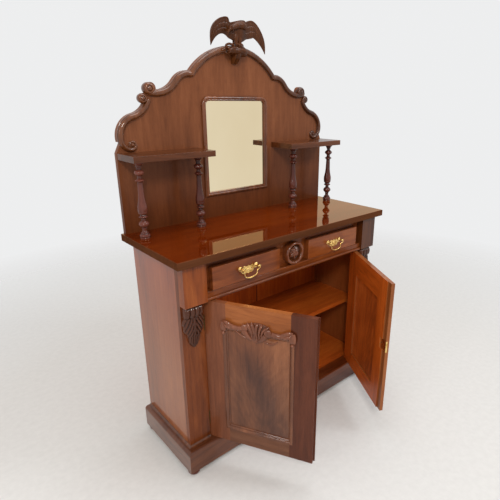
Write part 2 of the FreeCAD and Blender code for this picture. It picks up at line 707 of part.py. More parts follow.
def make_drawers():
    front, box_solids, x = make_drawer()
    plate, bail = make_handle(x)
    for name, shift in (("right", 0.0), ("left", -2 * x)):
        save("drawer_front_" + name, shifted([front], shift))
        save("drawer_box_" + name, shifted(box_solids, shift))
        save("handle_plate_" + name, shifted([plate], shift))
        save("handle_bail_" + name, shifted([bail], shift))


# ---------------------------------------------------------------- doors
# A door is drawn shut in its own coordinates: X 0, Y 0 at the hinge pin, X towards the free
# edge and Y into the cupboard. open_door() then turns it to its place.
def door_frame(reach, free_cut):
    x0 = PIN_TO_DOOR
    x1 = reach
    y0 = DOOR_FACE
    y1 = y0 + DOOR_THICK
    left = x0 + STILE_WIDTH
    right = left + DOOR_FIELD_WIDTH
    low = DOOR_BOTTOM + BOTTOM_RAIL_OF_DOOR
    high = DOOR_TOP - TOP_RAIL_OF_DOOR
    hinge_stile = box(x0, y0, DOOR_BOTTOM, left, y1, DOOR_TOP)
    for zc in hinge_centres():
        hinge_stile = hinge_stile.cut(hinge_gain(zc))
    free_stile = box(right, y0, DOOR_BOTTOM, x1, y1, DOOR_TOP)
    top = box(left, y0, high, right, y1, DOOR_TOP)
    bottom = box(left, y0, DOOR_BOTTOM, right, y1, low)
    g = PANEL_GROOVE
    panel_front = y0 + PANEL_SINK
    panel = box(left - g, panel_front, low - g, right + g, panel_front + PANEL_THICK, high + g)
    stiles = [hinge_stile.cut(panel), free_cut(free_stile.cut(panel))]
    rails = [top.cut(panel), bottom.cut(panel)]
    m = MOULDING_WIDTH
    d = MOULDING_DROP
    lap = trapezoid_frame(left - m, right + m, low - m, high + m, m + d, y0 - MOULDING_PROUD, y0)
    drop = trapezoid_frame(left, right, low, high, d, y0, panel_front)
    moulding = [fused([a, b]) for a, b in zip(lap, drop)]
    return stiles, rails, panel, moulding


def door_crest():
    """Carved shell with a leafy ear on each side, as plain bevelled forms that lie on the
    top rail, the moulding and the panel."""
    left = PIN_TO_DOOR + STILE_WIDTH
    right = left + DOOR_FIELD_WIDTH
    x = (left + right) / 2
    y = DOOR_FACE
    face = y - MOULDING_PROUD
    back = y + PANEL_SINK + 1
    opening_top = DOOR_TOP - TOP_RAIL_OF_DOOR
    middle = (face + y - SHELL_PROUD) / 2
    shell = relief([(x + a, opening_top + b) for a, b in SHELL_OUTLINE],
                   ((1.0, back), (1.0, face), (0.92, middle), (0.6, y - SHELL_PROUD)))
    ears = []
    for s in (-1, 1):
        outline = [(x + s * a, opening_top + b) for a, b in EAR_OUTLINE]
        ears.append(relief(outline, ((1.0, back), (1.0, face), (0.96, y - EAR_PROUD))))
    crest = fused([shell] + ears)
    m = MOULDING_WIDTH
    d = MOULDING_DROP
    g = CREST_SEAT
    lap_top = opening_top + m + g
    rooms = [box(x - 250, y - 60, 0, x + 250, face - g, TOP_HEIGHT),
             box(x - 250, face - g, lap_top, x + 250, y - g, TOP_HEIGHT),
             box(x - 250, face - g, 0, left - m - g, y - g, lap_top),
             box(right + m + g, face - g, 0, x + 250, y - g, lap_top),
             box(left + d + g, face - g, 0, right - d - g, y + PANEL_SINK - g, opening_top - d - g)]
    return crest.common(fused(rooms))


def hinge_leaf(moving):
    """One leaf of a butt hinge round the pin at X 0, Y 0; the middle knuckle is the door's."""
    third = HINGE_HEIGHT / 3
    leaves = []
    for zc in hinge_centres():
        z0 = zc - HINGE_HEIGHT / 2
        z1 = zc + HINGE_HEIGHT / 2
        m0 = z0 + third
        m1 = z1 - third
        if moving:
            x0 = PIN_TO_DOOR - LEAF_THICK
            x1 = PIN_TO_DOOR
            plate = box(x0, LEAF_KEEP_OFF, z0, x1, DOOR_FACE + LEAF_WIDTH, z1)
            tongue = box(x0, 0, m0 + KNUCKLE_GAP, x1, LEAF_KEEP_OFF, m1 - KNUCKLE_GAP)
            knuckle = cylinder_z(0, 0, KNUCKLE_RADIUS, m0 + KNUCKLE_GAP, m1 - KNUCKLE_GAP)
            leaf = fused([plate, tongue, knuckle])
            leaf = leaf.cut(cylinder_z(0, 0, PIN_RADIUS + PIN_CLEARANCE, z0 - 1, z1 + 1))
        else:
            x0 = -PIN_TO_PILASTER
            x1 = x0 + LEAF_THICK
            plate = box(x0, LEAF_KEEP_OFF, z0, x1, DOOR_FACE + LEAF_WIDTH, z1)
            tongues = [box(x0, 0, a, x1, LEAF_KEEP_OFF, b) for a, b in ((z0, m0), (m1, z1))]
            knuckles = [cylinder_z(0, 0, KNUCKLE_RADIUS, a, b) for a, b in ((z0, m0), (m1, z1))]
            pin = cylinder_z(0, 0, PIN_RADIUS, z0, z1)
            leaf = fused([plate] + tongues + knuckles + [pin])
        leaves.append(leaf)
    return leaves


def lock_pocket():
    y_back = DOOR_FACE + DOOR_THICK
    z0 = LOCK_HEIGHT
    return box(REACH_RIGHT - LOCK_WIDE, y_back - LOCK_POCKET_DEPTH, z0, REACH_RIGHT + 1, y_back + 1,
               z0 + LOCK_TALL)


def make_lock():
    y_back = DOOR_FACE + DOOR_THICK
    y0 = y_back - LOCK_POCKET_DEPTH
    y1 = y_back - REBATE_DEPTH
    x1 = REACH_RIGHT
    case = box(x1 - LOCK_WIDE, y0, LOCK_HEIGHT, x1, y1, LOCK_HEIGHT + LOCK_TALL)
    zc = LOCK_HEIGHT + LOCK_TALL / 2
    yc = (y0 + y1) / 2
    c = BOLT_CLEARANCE
    bolt = box(x1 - BOLT_LONG, yc - BOLT_THICK / 2, zc - BOLT_TALL / 2, x1, yc + BOLT_THICK / 2,
               zc + BOLT_TALL / 2)
    channel = box(x1 - BOLT_LONG - c, yc - BOLT_THICK / 2 - c, zc - BOLT_TALL / 2 - c, x1 + 1,
                  yc + BOLT_THICK / 2 + c, zc + BOLT_TALL / 2 + c)
    keyhole = cylinder_y(x1 - LOCK_WIDE + 9, zc, 2.6, y0 - 1, y1 + 1)
    return case.cut(channel).cut(keyhole), bolt


def lock_keep():
    """Slot in the left door's free edge for the thrown bolt."""
    y_back = DOOR_FACE + DOOR_THICK
    yc = y_back - (LOCK_POCKET_DEPTH + REBATE_DEPTH) / 2
    zc = LOCK_HEIGHT + LOCK_TALL / 2
    return box(REACH_LEFT - BOLT_TRAVEL - 2, yc - BOLT_THICK / 2 - 1, zc - BOLT_TALL / 2 - 1,
               REACH_LEFT + 1, yc + BOLT_THICK / 2 + 1, zc + BOLT_TALL / 2 + 1)


def rebate():
    y_back = DOOR_FACE + DOOR_THICK
    return box(REACH_RIGHT - REBATE_WIDTH, y_back - REBATE_DEPTH, DOOR_BOTTOM - 1, REACH_RIGHT + 1,
               y_back + 1, DOOR_TOP + 1)


def closing_strip():
    return box(REACH_LEFT - (STRIP_WIDTH - STRIP_REACH), STRIP_Y, DOOR_BOTTOM,
               REACH_LEFT + STRIP_REACH, STRIP_Y + STRIP_THICK, DOOR_TOP)


def turn_door(solids, right_side):
    """Turns shut-door solids about the pin to the rest angle and sets them on the carcass."""
    placed = []
    for solid in solids:
        shape = solid.copy()
        angle = DOOR_OPEN_RIGHT if right_side else -DOOR_OPEN_LEFT
        shape.rotate(V(0, 0, 0), V(0, 0, 1), angle)
        shape.translate(V(PIN_X if right_side else -PIN_X, PIN_SETBACK, 0))
        placed.append(shape)
    return placed


def open_door(solids, right_side):
    return turn_door([mirrored(s) if right_side else s for s in solids], right_side)


def make_doors():
    strip = closing_strip()
    leaves = hinge_leaf(True)
    crest = door_crest()
    crest_middle = PIN_TO_DOOR + STILE_WIDTH + DOOR_FIELD_WIDTH / 2
    case, bolt = make_lock()
    kinds = {"left": (REACH_LEFT, lambda s: s.cut(strip).cut(lock_keep())),
             "right": (REACH_RIGHT, lambda s: s.cut(rebate()).cut(lock_pocket()))}
    for name, (reach, cut) in kinds.items():
        right_side = name == "right"
        stiles, rails, panel, moulding = door_frame(reach, cut)
        save("door_stiles_" + name, open_door(stiles, right_side))
        save("door_rails_" + name, open_door(rails, right_side))
        save("door_panel_" + name, open_door([panel], right_side))
        save("door_moulding_" + name, open_door(moulding, right_side))
        hand = shifted([crest], -2 * crest_middle) if right_side else [crest]
        save("door_crest_" + name, turn_door(hand, right_side))
        save("hinge_leaves_" + name, open_door(leaves, right_side))
    save("closing_strip", open_door([strip], False))
    save("cupboard_lock", open_door([case], True))
    save("lock_bolt", open_door([bolt], True))

    fixed = hinge_leaf(False)
    for leaf in fixed:
        leaf.translate(V(-PIN_X, PIN_SETBACK, 0))
    save("hinge_leaves_fixed", fixed + [mirrored(leaf) for leaf in fixed])


# ---------------------------------------------------------------- superstructure
def above_top(place):
    """The same place, with its height counted from the floor."""
    x, rise, last = place
    return x, TOP_HEIGHT + rise, last


def crest_chain():
    return arc_chain(above_top(CREST_START), CREST_ARCS)


def crown_arc():
    """The large arc from the cusp up to the perch."""
    first = math.radians(CUSP_ANGLE)
    last = math.acos(PERCH_HALF_WIDTH / CREST_RADIUS)
    return (0.0, CREST_CENTRE_HEIGHT, CREST_RADIUS, first, last - first)


def shoulder_chain():
    return arc_chain(above_top(SHOULDER_START), SHOULDER_ARCS)


def half_panel():
    """Right half of the back panel: a field under the moulding centre lines, and the bands."""
    y0 = PANEL_FRONT_Y
    y1 = TOP_DEPTH
    crown = crown_arc()
    crest = crest_chain()
    shoulder = shoulder_chain()
    top = (0.0, CREST_CENTRE_HEIGHT + CREST_RADIUS)
    crown_full = (0.0, CREST_CENTRE_HEIGHT, CREST_RADIUS, crown[3], math.pi / 2 - crown[3])
    corner = (PANEL_WIDTH / 2, SHOULDER_HEIGHT)
    foot = arc_point(shoulder[1], 1.0)
    edges = []
    path = [(0.0, TOP_HEIGHT), (PANEL_WIDTH / 2, TOP_HEIGHT), corner, foot]
    for a, b in zip(path, path[1:]):
        edges.append(Part.LineSegment(V(a[0], y0, a[1]), V(b[0], y0, b[1])).toShape())
    for arc in (shoulder[1], shoulder[0]):
        edges.append(arc_edge(arc, y0))
    hop = [above_top(SHOULDER_START), arc_point(crest[-1], 1.0)]
    edges.append(Part.LineSegment(V(hop[0][0], y0, hop[0][1]), V(hop[1][0], y0, hop[1][1])).toShape())
    for arc in reversed(crest):
        edges.append(arc_edge(arc, y0))
    cusp = arc_point(crown, 0.0)
    start = above_top(CREST_START)
    edges.append(Part.LineSegment(V(start[0], y0, start[1]), V(cusp[0], y0, cusp[1])).toShape())
    edges.append(arc_edge(crown_full, y0))
    edges.append(Part.LineSegment(V(top[0], y0, top[1]), V(0.0, y0, TOP_HEIGHT)).toShape())
    wire = Part.Wire(Part.__sortEdges__(edges))
    field = Part.Face(wire).extrude(V(0, y1 - y0, 0))
    band = band_section(MOULD_WIDTH, y0, y1)
    scroll_band = band_section(SCROLL_WIDTH, y0, y1)
    bands = [swept_arc(arc, band) for arc in [crown_full] + crest]
    bands += [swept_arc(arc, scroll_band) for arc in shoulder[:2]]
    bx, bz, br = above_top(CREST_BALL)
    sx, sz, sr = above_top(SHOULDER_BALL)
    bands += [cylinder_y(bx, bz, br, y0, y1), cylinder_y(sx, sz, sr, y0, y1)]
    return fused([field] + bands)


def make_back_panel():
    right = half_panel()
    w = MIRROR_WIDTH / 2 + MIRROR_LAP + MIRROR_CLEARANCE
    z0 = MIRROR_BOTTOM - MIRROR_LAP - MIRROR_CLEARANCE
    z1 = MIRROR_BOTTOM + MIRROR_HEIGHT + MIRROR_LAP + MIRROR_CLEARANCE
    panel = right.fuse(mirrored(right)).removeSplitter()
    panel = panel.cut(box(-w, PANEL_FRONT_Y - 1, z0, w, TOP_DEPTH + 1, z1))
    save("back_panel", [panel])


def make_scrolls():
    y = PANEL_FRONT_Y
    section = half_round_section(MOULD_WIDTH, MOULD_PROUD, y)
    bx, bz, br = above_top(CREST_BALL)
    crest = [swept_arc(arc, section) for arc in [crown_arc()] + crest_chain()]
    crest.append(cylinder_y(bx, bz, br, y - BALL_PROUD * 0.6, y))
    crest = fused(crest)
    crest = crest.cut(box(0, y - 60, SMALL_SHELF_TOP, PERCH_HALF_WIDTH, y, 2 * SMALL_SHELF_TOP))
    sx, sz, sr = above_top(SHOULDER_BALL)
    chain = shoulder_chain()
    vx, vz = chain[-1][0], chain[-1][1]
    scroll_section = half_round_section(SCROLL_WIDTH, MOULD_PROUD, y)
    shoulder = [swept_arc(arc, scroll_section) for arc in chain]
    shoulder.append(cylinder_y(sx, sz, sr, y - BALL_PROUD * 0.6, y))
    shoulder.append(cylinder_y(vx, vz, VOLUTE_EYE, y - BALL_PROUD * 0.5, y))
    shoulder = fused(shoulder)
    shoulder = shoulder.cut(crest)
    shoulder = shoulder.cut(box(0, y - 60, 0, PANEL_WIDTH, y, SMALL_SHELF_TOP))
    save("crest_moulding_right", [crest])
    save("crest_moulding_left", [mirrored(crest)])
    save("shoulder_scroll_right", [shoulder])
    save("shoulder_scroll_left", [mirrored(shoulder)])


def rounded_window(half_width, z0, z1, radius, y0, y1):
    """Rectangle with its two upper corners rounded, as a prism along Y."""
    k = radius * (1 - math.sqrt(0.5))
    a = V(-half_width, y0, z0)
    b = V(half_width, y0, z0)
    c = V(half_width, y0, z1 - radius)
    d = V(half_width - radius, y0, z1)
    e = V(-half_width + radius, y0, z1)
    f = V(-half_width, y0, z1 - radius)
    edges = [Part.LineSegment(a, b).toShape(), Part.LineSegment(b, c).toShape(),
             Part.Arc(c, V(half_width - k, y0, z1 - k), d).toShape(),
             Part.LineSegment(d, e).toShape(),
             Part.Arc(e, V(-half_width + k, y0, z1 - k), f).toShape(),
             Part.LineSegment(f, a).toShape()]
    return Part.Face(Part.Wire(edges)).extrude(V(0, y1 - y0, 0))


def make_mirror():
    y = PANEL_FRONT_Y
    w = MIRROR_WIDTH / 2
    z0 = MIRROR_BOTTOM
    z1 = z0 + MIRROR_HEIGHT
    f = MIRROR_FRAME_WIDTH
    frame = rounded_window(w + f, z0 - f, z1 + f, MIRROR_CORNER + f / 2, y - MIRROR_FRAME_PROUD, y)
    frame = frame.cut(rounded_window(w, z0, z1, MIRROR_CORNER, y - MIRROR_FRAME_PROUD - 1, y + 1))
    front = y - MIRROR_FRAME_PROUD
    frame = round_edges(frame, 5.0, lambda e: e.BoundBox.YMax < front + 0.1)
    save("mirror_frame", [frame])
    lap = MIRROR_LAP
    glass = box(-w - lap, y, z0 - lap, w + lap, y + GLASS_THICK, z1 + lap)
    board = box(-w - lap, y + GLASS_THICK, z0 - lap, w + lap, y + GLASS_THICK + BACKBOARD_THICK,
                z1 + lap)
    save("mirror_glass", [glass])
    save("mirror_backboard", [board])


def make_small_shelves():
    shelf = box(SMALL_SHELF_INNER, SMALL_SHELF_SETBACK, SMALL_SHELF_TOP - SMALL_SHELF_THICK,
                SMALL_SHELF_OUTER, PANEL_FRONT_Y, SMALL_SHELF_TOP)
    shelf = round_edges(shelf, 1.5, lambda e: e.BoundBox.YMax < SMALL_SHELF_SETBACK + 1
                        and not along(e, 2))
    save("small_shelf_right", [shelf])
    save("small_shelf_left", [mirrored(shelf)])

    tall = SMALL_SHELF_TOP - SMALL_SHELF_THICK - TOP_HEIGHT
    parts = [(18.5, 0.0), (18.5, 0.02), (19.5, 0.03), (19.5, 0.06), (14, 0.075), (14, 0.085, 1.0),
             (8.5, 0.12), (8.5, 0.135), (8.5, 0.255, 10.5), (8, 0.27), (14.5, 0.285),
             (14.5, 0.305, 2.0), (11, 0.32), (17.5, 0.36, 1.5), (17.5, 0.44, 1.0), (11, 0.58, -1.0),
             (9.5, 0.74), (14, 0.755), (14, 0.78, 3.0), (8.5, 0.795), (8.5, 0.825),
             (8.5, 0.91, 9.5), (8, 0.93), (16.5, 0.975, -2.0), (19, 0.985), (19, 1.0)]
    profile = [(p[0], TOP_HEIGHT + tall * p[1]) + tuple(p[2:]) for p in parts]
    pair = [turned(profile, x, SPINDLE_SETBACK) for x in SPINDLE_X]
    save("shelf_spindles", [mirrored(s) for s in pair] + pair)


def make_eagle():
    """A log and its bracket on the crown of the moulding, and an eagle with spread wings."""
    crown = CREST_CENTRE_HEIGHT + CREST_RADIUS + MOULD_WIDTH / 2
    y_mid = EAGLE_SETBACK
    seat = crown - MOULD_WIDTH
    w = PERCH_HALF_WIDTH
    front = y_mid - PERCH_DEPTH / 2
    rock = prism_y([(-w, seat + 2), (-w * 0.8, seat - 12), (w * 0.55, seat - 16), (w, seat - 8),
                    (w, crown - 6), (w * 0.7, crown + PERCH_RISE), (-w * 0.75, crown + PERCH_RISE),
                    (-w, crown - 4)], front, PANEL_FRONT_Y)
    rock = round_edges(rock, 6.0, lambda e: e.BoundBox.YMax < front + 1)
    log_y = PANEL_FRONT_Y - MOULD_PROUD - LOG_RADIUS - 1
    log = cylinder_x(log_y, crown - MOULD_WIDTH + LOG_RADIUS / 3, LOG_RADIUS, -LOG_END, 0)
    bracket = box(PENDANT[0], front, crown + PERCH_RISE - PENDANT_DROP - LOG_RADIUS, PENDANT[1],
                  PANEL_FRONT_Y, seat)
    save("eagle_perch", [fused([rock, log, bracket])])

    feet = crown + PERCH_RISE
    x = EAGLE_X
    y0 = y_mid - WING_THICK / 2
    wings = [prism_y([(x + a, feet + b) for a, b in outline], y0, y0 + WING_THICK)
             for outline in (RIGHT_WING, LEFT_WING)]
    r = BODY_RADIUS
    body = turned([(r * 0.5, feet + 10), (r, feet + 32), (r * 1.1, feet + 56), (r * 0.9, feet + 76),
                   (r * 0.3, feet + 90)], x + 4, y_mid - 4)
    neck = [Part.makeSphere(a, V(x + b, y_mid - c, feet + d)) for a, b, c, d in NECK]
    size, across, forward, height = NECK[-1]
    beak = Part.makeCone(size / 2, 1.0, 1.3 * size, V(x + across - 0.7 * size, y_mid - forward,
                                                      feet + height - 0.4 * size), V(-0.7, -0.1, -1.0))
    tail = prism_y([(x - 5, feet + 24), (x + 13, feet + 24), (x + 20, feet + 1), (x - 8, feet + 1)],
                   y_mid + 2, y_mid + 10)
    legs = [Part.makeCylinder(7.5, 30, V(x - r / 2 + s * r / 2, y_mid - 2, feet)) for s in (-1, 1)]
    save("eagle", [fused([body, beak, tail] + wings + neck + legs)])


os.makedirs("parts", exist_ok=True)
make_feet()
make_plinth()
make_carcass()
make_top()
make_frieze()
make_corbels()
make_drawers()
make_doors()
make_back_panel()
make_scrolls()
make_mirror()
make_small_shelves()
make_eagle()
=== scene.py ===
import bpy
import bmesh
from math import acos, atan2, copysign, cos, exp, pi, radians, sin
import numpy as np
from mathutils import Matrix, Vector


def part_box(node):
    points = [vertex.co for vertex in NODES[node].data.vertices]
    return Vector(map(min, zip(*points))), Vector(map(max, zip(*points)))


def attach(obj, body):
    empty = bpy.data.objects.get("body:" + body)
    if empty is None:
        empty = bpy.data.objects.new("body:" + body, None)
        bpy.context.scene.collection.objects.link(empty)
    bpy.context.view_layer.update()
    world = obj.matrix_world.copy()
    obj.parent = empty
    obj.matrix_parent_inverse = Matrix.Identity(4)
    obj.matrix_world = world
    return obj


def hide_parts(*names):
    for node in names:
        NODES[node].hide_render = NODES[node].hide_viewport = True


# Looks of the mahogany chiffonier. Shapes are drawn in bench coordinates: millimetres, X 0 on
# the centre line, Y 0 at the front edge of the top board, Z 0 on the floor. Left and right are
# the viewer's. Materials read Object coordinates, which are metres in the frame.

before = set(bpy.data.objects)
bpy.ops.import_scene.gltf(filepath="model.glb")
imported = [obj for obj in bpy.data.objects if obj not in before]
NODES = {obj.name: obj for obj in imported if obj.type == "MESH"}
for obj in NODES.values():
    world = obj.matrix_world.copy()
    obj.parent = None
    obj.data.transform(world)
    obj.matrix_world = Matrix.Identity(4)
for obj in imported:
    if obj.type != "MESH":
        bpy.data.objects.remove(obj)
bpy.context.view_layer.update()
ORIGIN_Y = 58.1416  # bench Y of the frame's origin

TOP_Z = 912  # upper face of the top board
PANEL_Y = 418  # front face of the back panel
SHELF_Z = 1223  # upper face of the small shelves
SHELF_THICK = 23
PIN_X = 437  # hinge pins, to each side of the centre line
PIN_Y = 58.8
DOOR_TURN = {"left": -62, "right": 60}
DOOR_FACE = 1.2  # front of a door's stiles, from the pin
OPENING_X = (90, 339)  # panel opening of the left door, from the pin
OPENING_Z = (190.5, 618.5)
SIDES = ("left", "right")

BENCH = Matrix.Translation((0, -ORIGIN_Y / 1000, 0)) @ Matrix.Scale(0.001, 4)
DOORS = {side: BENCH @ Matrix.Translation((x, PIN_Y, 0))
         @ Matrix.Rotation(radians(DOOR_TURN[side]), 4, "Z")
         for side, x in zip(SIDES, (-PIN_X, PIN_X))}


# ---- drawing tools
def spline(rows, count):
    """Smooth run through the rows, which may carry widths after their coordinates."""
    rows = np.asarray(rows, float)
    padded = np.vstack([2 * rows[0] - rows[1], rows, 2 * rows[-1] - rows[-2]])
    out = []
    for share in np.linspace(0, len(rows) - 1, count):
        i = min(int(share), len(rows) - 2)
        t = share - i
        a, b, c, d = padded[i:i + 4]
        out.append(0.5 * (2 * b + (c - a) * t + (2 * a - 5 * b + 4 * c - d) * t ** 2
                          + (3 * b - a - 3 * c + d) * t ** 3))
    return np.array(out)


def circle(count, radius=1):
    angles = np.linspace(0, 2 * pi, count, endpoint=False)
    return np.stack([np.cos(angles), np.sin(angles)], 1) * radius


def bell(offset, width):
    """1 at the middle, falling away over the width."""
    return exp(-(offset / width) ** 2)


def wave(value, pitch):
    """Row of arches, 0 to 1, one for each pitch."""
    return abs(sin(pi * value / pitch))


class Form:
    """A mesh in the making: closed lofts that may run into each other."""

    def __init__(self):
        self.points = []
        self.faces = []

    def add(self, points, faces):
        base = len(self.points)
        self.points += [tuple(p) for p in np.asarray(points, float)]
        self.faces += [tuple(base + i for i in face) for face in faces]

    def loft(self, rings, loop=False):
        rings = np.asarray(rings, float)
        m, n = rings.shape[:2]
        points = list(rings.reshape(-1, 3))
        faces = []
        for i in range(m if loop else m - 1):
            k = (i + 1) % m
            for j in range(n):
                h = (j + 1) % n
                faces.append((i * n + j, i * n + h, k * n + h, k * n + j))
        if not loop:
            points += [rings[0].mean(0), rings[-1].mean(0)]
            for j in range(n):
                h = (j + 1) % n
                faces.append((h, j, m * n))
                faces.append(((m - 1) * n + j, (m - 1) * n + h, m * n + 1))
        self.add(points, faces)

    def sweep(self, path, sections, up=(0, -1, 0)):
        """Sections are (across, up) pairs, one set for the whole path or one for each point."""
        path = np.asarray(path, float)
        run = np.gradient(path, axis=0)
        run /= np.linalg.norm(run, axis=1)[:, None]
        side = np.cross(run, np.asarray(up, float))
        side /= np.linalg.norm(side, axis=1)[:, None]
        top = np.cross(side, run)
        sections = np.asarray(sections, float)
        if sections.ndim == 2:
            sections = np.repeat(sections[None], len(path), 0)
        self.loft(path[:, None, :] + side[:, None, :] * sections[:, :, :1]
                  + top[:, None, :] * sections[:, :, 1:2])

    def tube(self, rows, count=24, up=(0, -1, 0), sides=12, flat=1):
        """Round bar through (x, y, z, radius) rows."""
        rows = spline(rows, count)
        ring = circle(sides) * (1, flat)
        self.sweep(rows[:, :3], rows[:, 3, None, None] * ring[None], up)

    def blade(self, rows, count=14, sides=12, keel=0):
        """Leaf or feather through (x, y, z, half width, half thickness) rows."""
        rows = spline(rows, count)
        ring = circle(sides)
        high = np.sign(ring[:, 1]) * np.abs(ring[:, 1]) ** 0.8
        high = high * (1 - keel * np.exp(-(ring[:, 0] / 0.28) ** 2))
        self.sweep(rows[:, :3], np.stack([rows[:, 3, None] * ring[None, :, 0],
                                          rows[:, 4, None] * high[None]], 2))

    def lathe(self, profile, centre, axis="z", sides=40):
        """Turning of (radius, height) points about an axis through the centre."""
        ring = circle(sides)
        rings = []
        for radius, height in profile:
            a, b = ring.T * max(radius, 0.02)
            level = np.full(sides, float(height))
            rings.append(np.stack({"x": (level, a, b), "y": (a, level, b),
                                   "z": (a, b, level)}[axis], 1))
        self.loft(np.array(rings) + np.asarray(centre, float))

    def ball(self, centre, radii, sides=20):
        rings = []
        for lift in np.linspace(-pi / 2 + 0.05, pi / 2 - 0.05, sides // 2 + 1):
            ring = circle(sides) * cos(lift)
            level = np.full(sides, sin(lift))
            rings.append(np.stack([ring[:, 0], ring[:, 1], level], 1) * radii)
        self.loft(np.array(rings) + np.asarray(centre, float))

    def relief(self, front, y):
        """Closed sheet from a grid of carved points back to a flat face at y."""
        front = np.asarray(front, float)
        back = front.copy()
        back[..., 1] = y
        m, n = front.shape[:2]
        faces = []
        base = m * n
        for i in range(m - 1):
            for j in range(n - 1):
                a = i * n + j
                faces.append((a, a + 1, a + n + 1, a + n))
                faces.append((base + a, base + a + n, base + a + n + 1, base + a + 1))
        rim = [(0, j) for j in range(n)] + [(i, n - 1) for i in range(1, m)]
        rim += [(m - 1, j) for j in range(n - 2, -1, -1)] + [(i, 0) for i in range(m - 2, 0, -1)]
        for (i, j), (k, h) in zip(rim, rim[1:] + rim[:1]):
            a = i * n + j
            b = k * n + h
            faces.append((b, a, base + a, base + b))
        self.add(np.vstack([front.reshape(-1, 3), back.reshape(-1, 3)]), faces)

    def moved(self, change):
        other = Form()
        other.add([change(np.array(p)) for p in self.points], self.faces)
        return other

    def mirrored(self):
        other = self.moved(lambda p: p * (-1, 1, 1))
        other.faces = [face[::-1] for face in other.faces]
        return other

    def frame(self, box, profile, radius=0, steps=12):
        """Mitred moulding round a rectangle: (inset, y) profile points, upper corners rounded
        if asked."""
        x0, x1, z0, z1 = box
        rings = []
        for cx, cz, start in ((x0, z0, 180), (x1, z0, 270), (x1, z1, 0), (x0, z1, 90)):
            sx = 1 if cx == x0 else -1
            sz = 1 if cz == z0 else -1
            if radius and cz == z1:
                for turn in np.linspace(0, 90, steps):
                    angle = radians(start + turn)
                    rings.append([(cx + sx * radius + (radius - inset) * cos(angle), y,
                                   cz + sz * radius + (radius - inset) * sin(angle))
                                  for inset, y in profile])
            else:
                rings.append([(cx + sx * inset, y, cz + sz * inset) for inset, y in profile])
        self.loft(rings, loop=True)


def node_box(name):
    """A CAD node's box in bench coordinates: (low, high) for X, Y and Z."""
    low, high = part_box(name)
    return [(low[i] * 1000 + shift, high[i] * 1000 + shift)
            for i, shift in enumerate((0, ORIGIN_Y, 0))]


def new_object(name, data):
    thing = bpy.data.objects.new(name, data)
    bpy.context.scene.collection.objects.link(thing)
    return thing


def build(form, name, finish, replaces, body="carcass", place=BENCH,
          sharp=35):
    """Makes the form a piece that rides a body and stands for CAD nodes. Edges that turn more
    than the sharp angle stay hard."""
    mesh = bpy.data.meshes.new(name)
    mesh.from_pydata(form.points, [], form.faces)
    mesh.transform(place)
    work = bmesh.new()
    work.from_mesh(mesh)
    bmesh.ops.recalc_face_normals(work, faces=work.faces)
    work.to_mesh(mesh)
    work.free()
    mesh.polygons.foreach_set("use_smooth", [True] * len(mesh.polygons))
    mesh.set_sharp_from_angle(angle=radians(sharp))
    piece = new_object(name, mesh)
    mesh.materials.append(M[finish])
    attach(piece, body)
    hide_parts(*replaces)


# ---- materials
class Nodes:
    """Short way to fill the shader of a material or a world."""

    def __init__(self, owner):
        self.owner = owner
        owner.use_nodes = True
        self.tree = owner.node_tree
        self.tree.nodes.clear()

    def add(self, kind, inputs=None, **settings):
        node = self.tree.nodes.new("ShaderNode" + kind)
        for key, value in settings.items():
            setattr(node, key, value)
        for key, value in (inputs or {}).items():
            self.put(node.inputs[key], value)
        return node

    def put(self, socket, value):
        """Links a socket, or sets a constant on it. A colour may leave out its alpha."""
        if isinstance(value, bpy.types.NodeSocket):
            self.tree.links.new(value, socket)
        elif socket.type == "RGBA" and len(value) == 3:
            socket.default_value = (*value, 1)
        else:
            socket.default_value = value

    def maths(self, operation, a, b=0):
        return self.add("Math", {0: a, 1: b}, operation=operation).outputs[0]

    def plus(self, a, b):
        return self.maths("ADD", a, b)

    def minus(self, a, b):
        return self.maths("SUBTRACT", a, b)

    def times(self, a, b):
        return self.maths("MULTIPLY", a, b)

    def place(self):
        return self.add("TexCoord").outputs["Object"]

    def axis(self, vector, name):
        return self.add("SeparateXYZ", {"Vector": vector}).outputs[name]

    def reach(self, value, start, end):
        """0 at the start, 1 at the end and past it."""
        return self.add("MapRange", {"Value": value, "From Min": start, "From Max": end}).outputs[0]

    def ramp(self, factor, *stops):
        """Colours or levels of grey at places from 0 to 1."""
        node = self.add("ValToRGB", {"Fac": factor})
        bar = node.color_ramp
        while len(bar.elements) < len(stops):
            bar.elements.new(0.5)
        for element, (position, colour) in zip(bar.elements, stops):
            element.position = position
            element.color = (*(colour if isinstance(colour, tuple) else (colour,) * 3), 1)
        return node.outputs["Color"]

    def noise(self, vector, scale, detail=3, roughness=0.55, distortion=0):
        stretched = self.add("Mapping", {"Vector": vector, "Scale": scale}).outputs[0]
        node = self.add("TexNoise", {"Vector": stretched, "Scale": 1, "Detail": detail,
                                     "Roughness": roughness, "Distortion": distortion})
        return node.outputs["Fac"]

    def blend(self, factor, a, b, kind="MIX"):
        return self.add("Mix", {0: factor, 6: a, 7: b}, data_type="RGBA",
                        blend_type=kind).outputs[2]

    def finish(self, shader, out="OutputMaterial"):
        self.add(out, {"Surface": shader.outputs[0]})
        return self.owner


M = {}


def material_nodes(key, family=""):
    """Starts a material and keeps it in M under its key."""
    M[key] = bpy.data.materials.new(family + key)
    return Nodes(M[key])


GLOSS_SWING = 0.12  # how far the grain varies the roughness
PORE_DEPTH = 0.0002
PORE_STRENGTH = 0.35
CLEAR_IOR = 1.5
SMOKE_TINT = (0.52, 0.52, 0.66)
JOINT_HALF = 0.0025
JOINT_COLOUR = (0.02, 0.004, 0.001)
# Painted shade in the hollows of carvings: the pointiness of the mesh sets how dark each hollow is
# painted.
HOLLOW_SHADE = ((0.43, 0.22), (0.49, 0.62), (0.54, 1))  # (pointiness, shade)


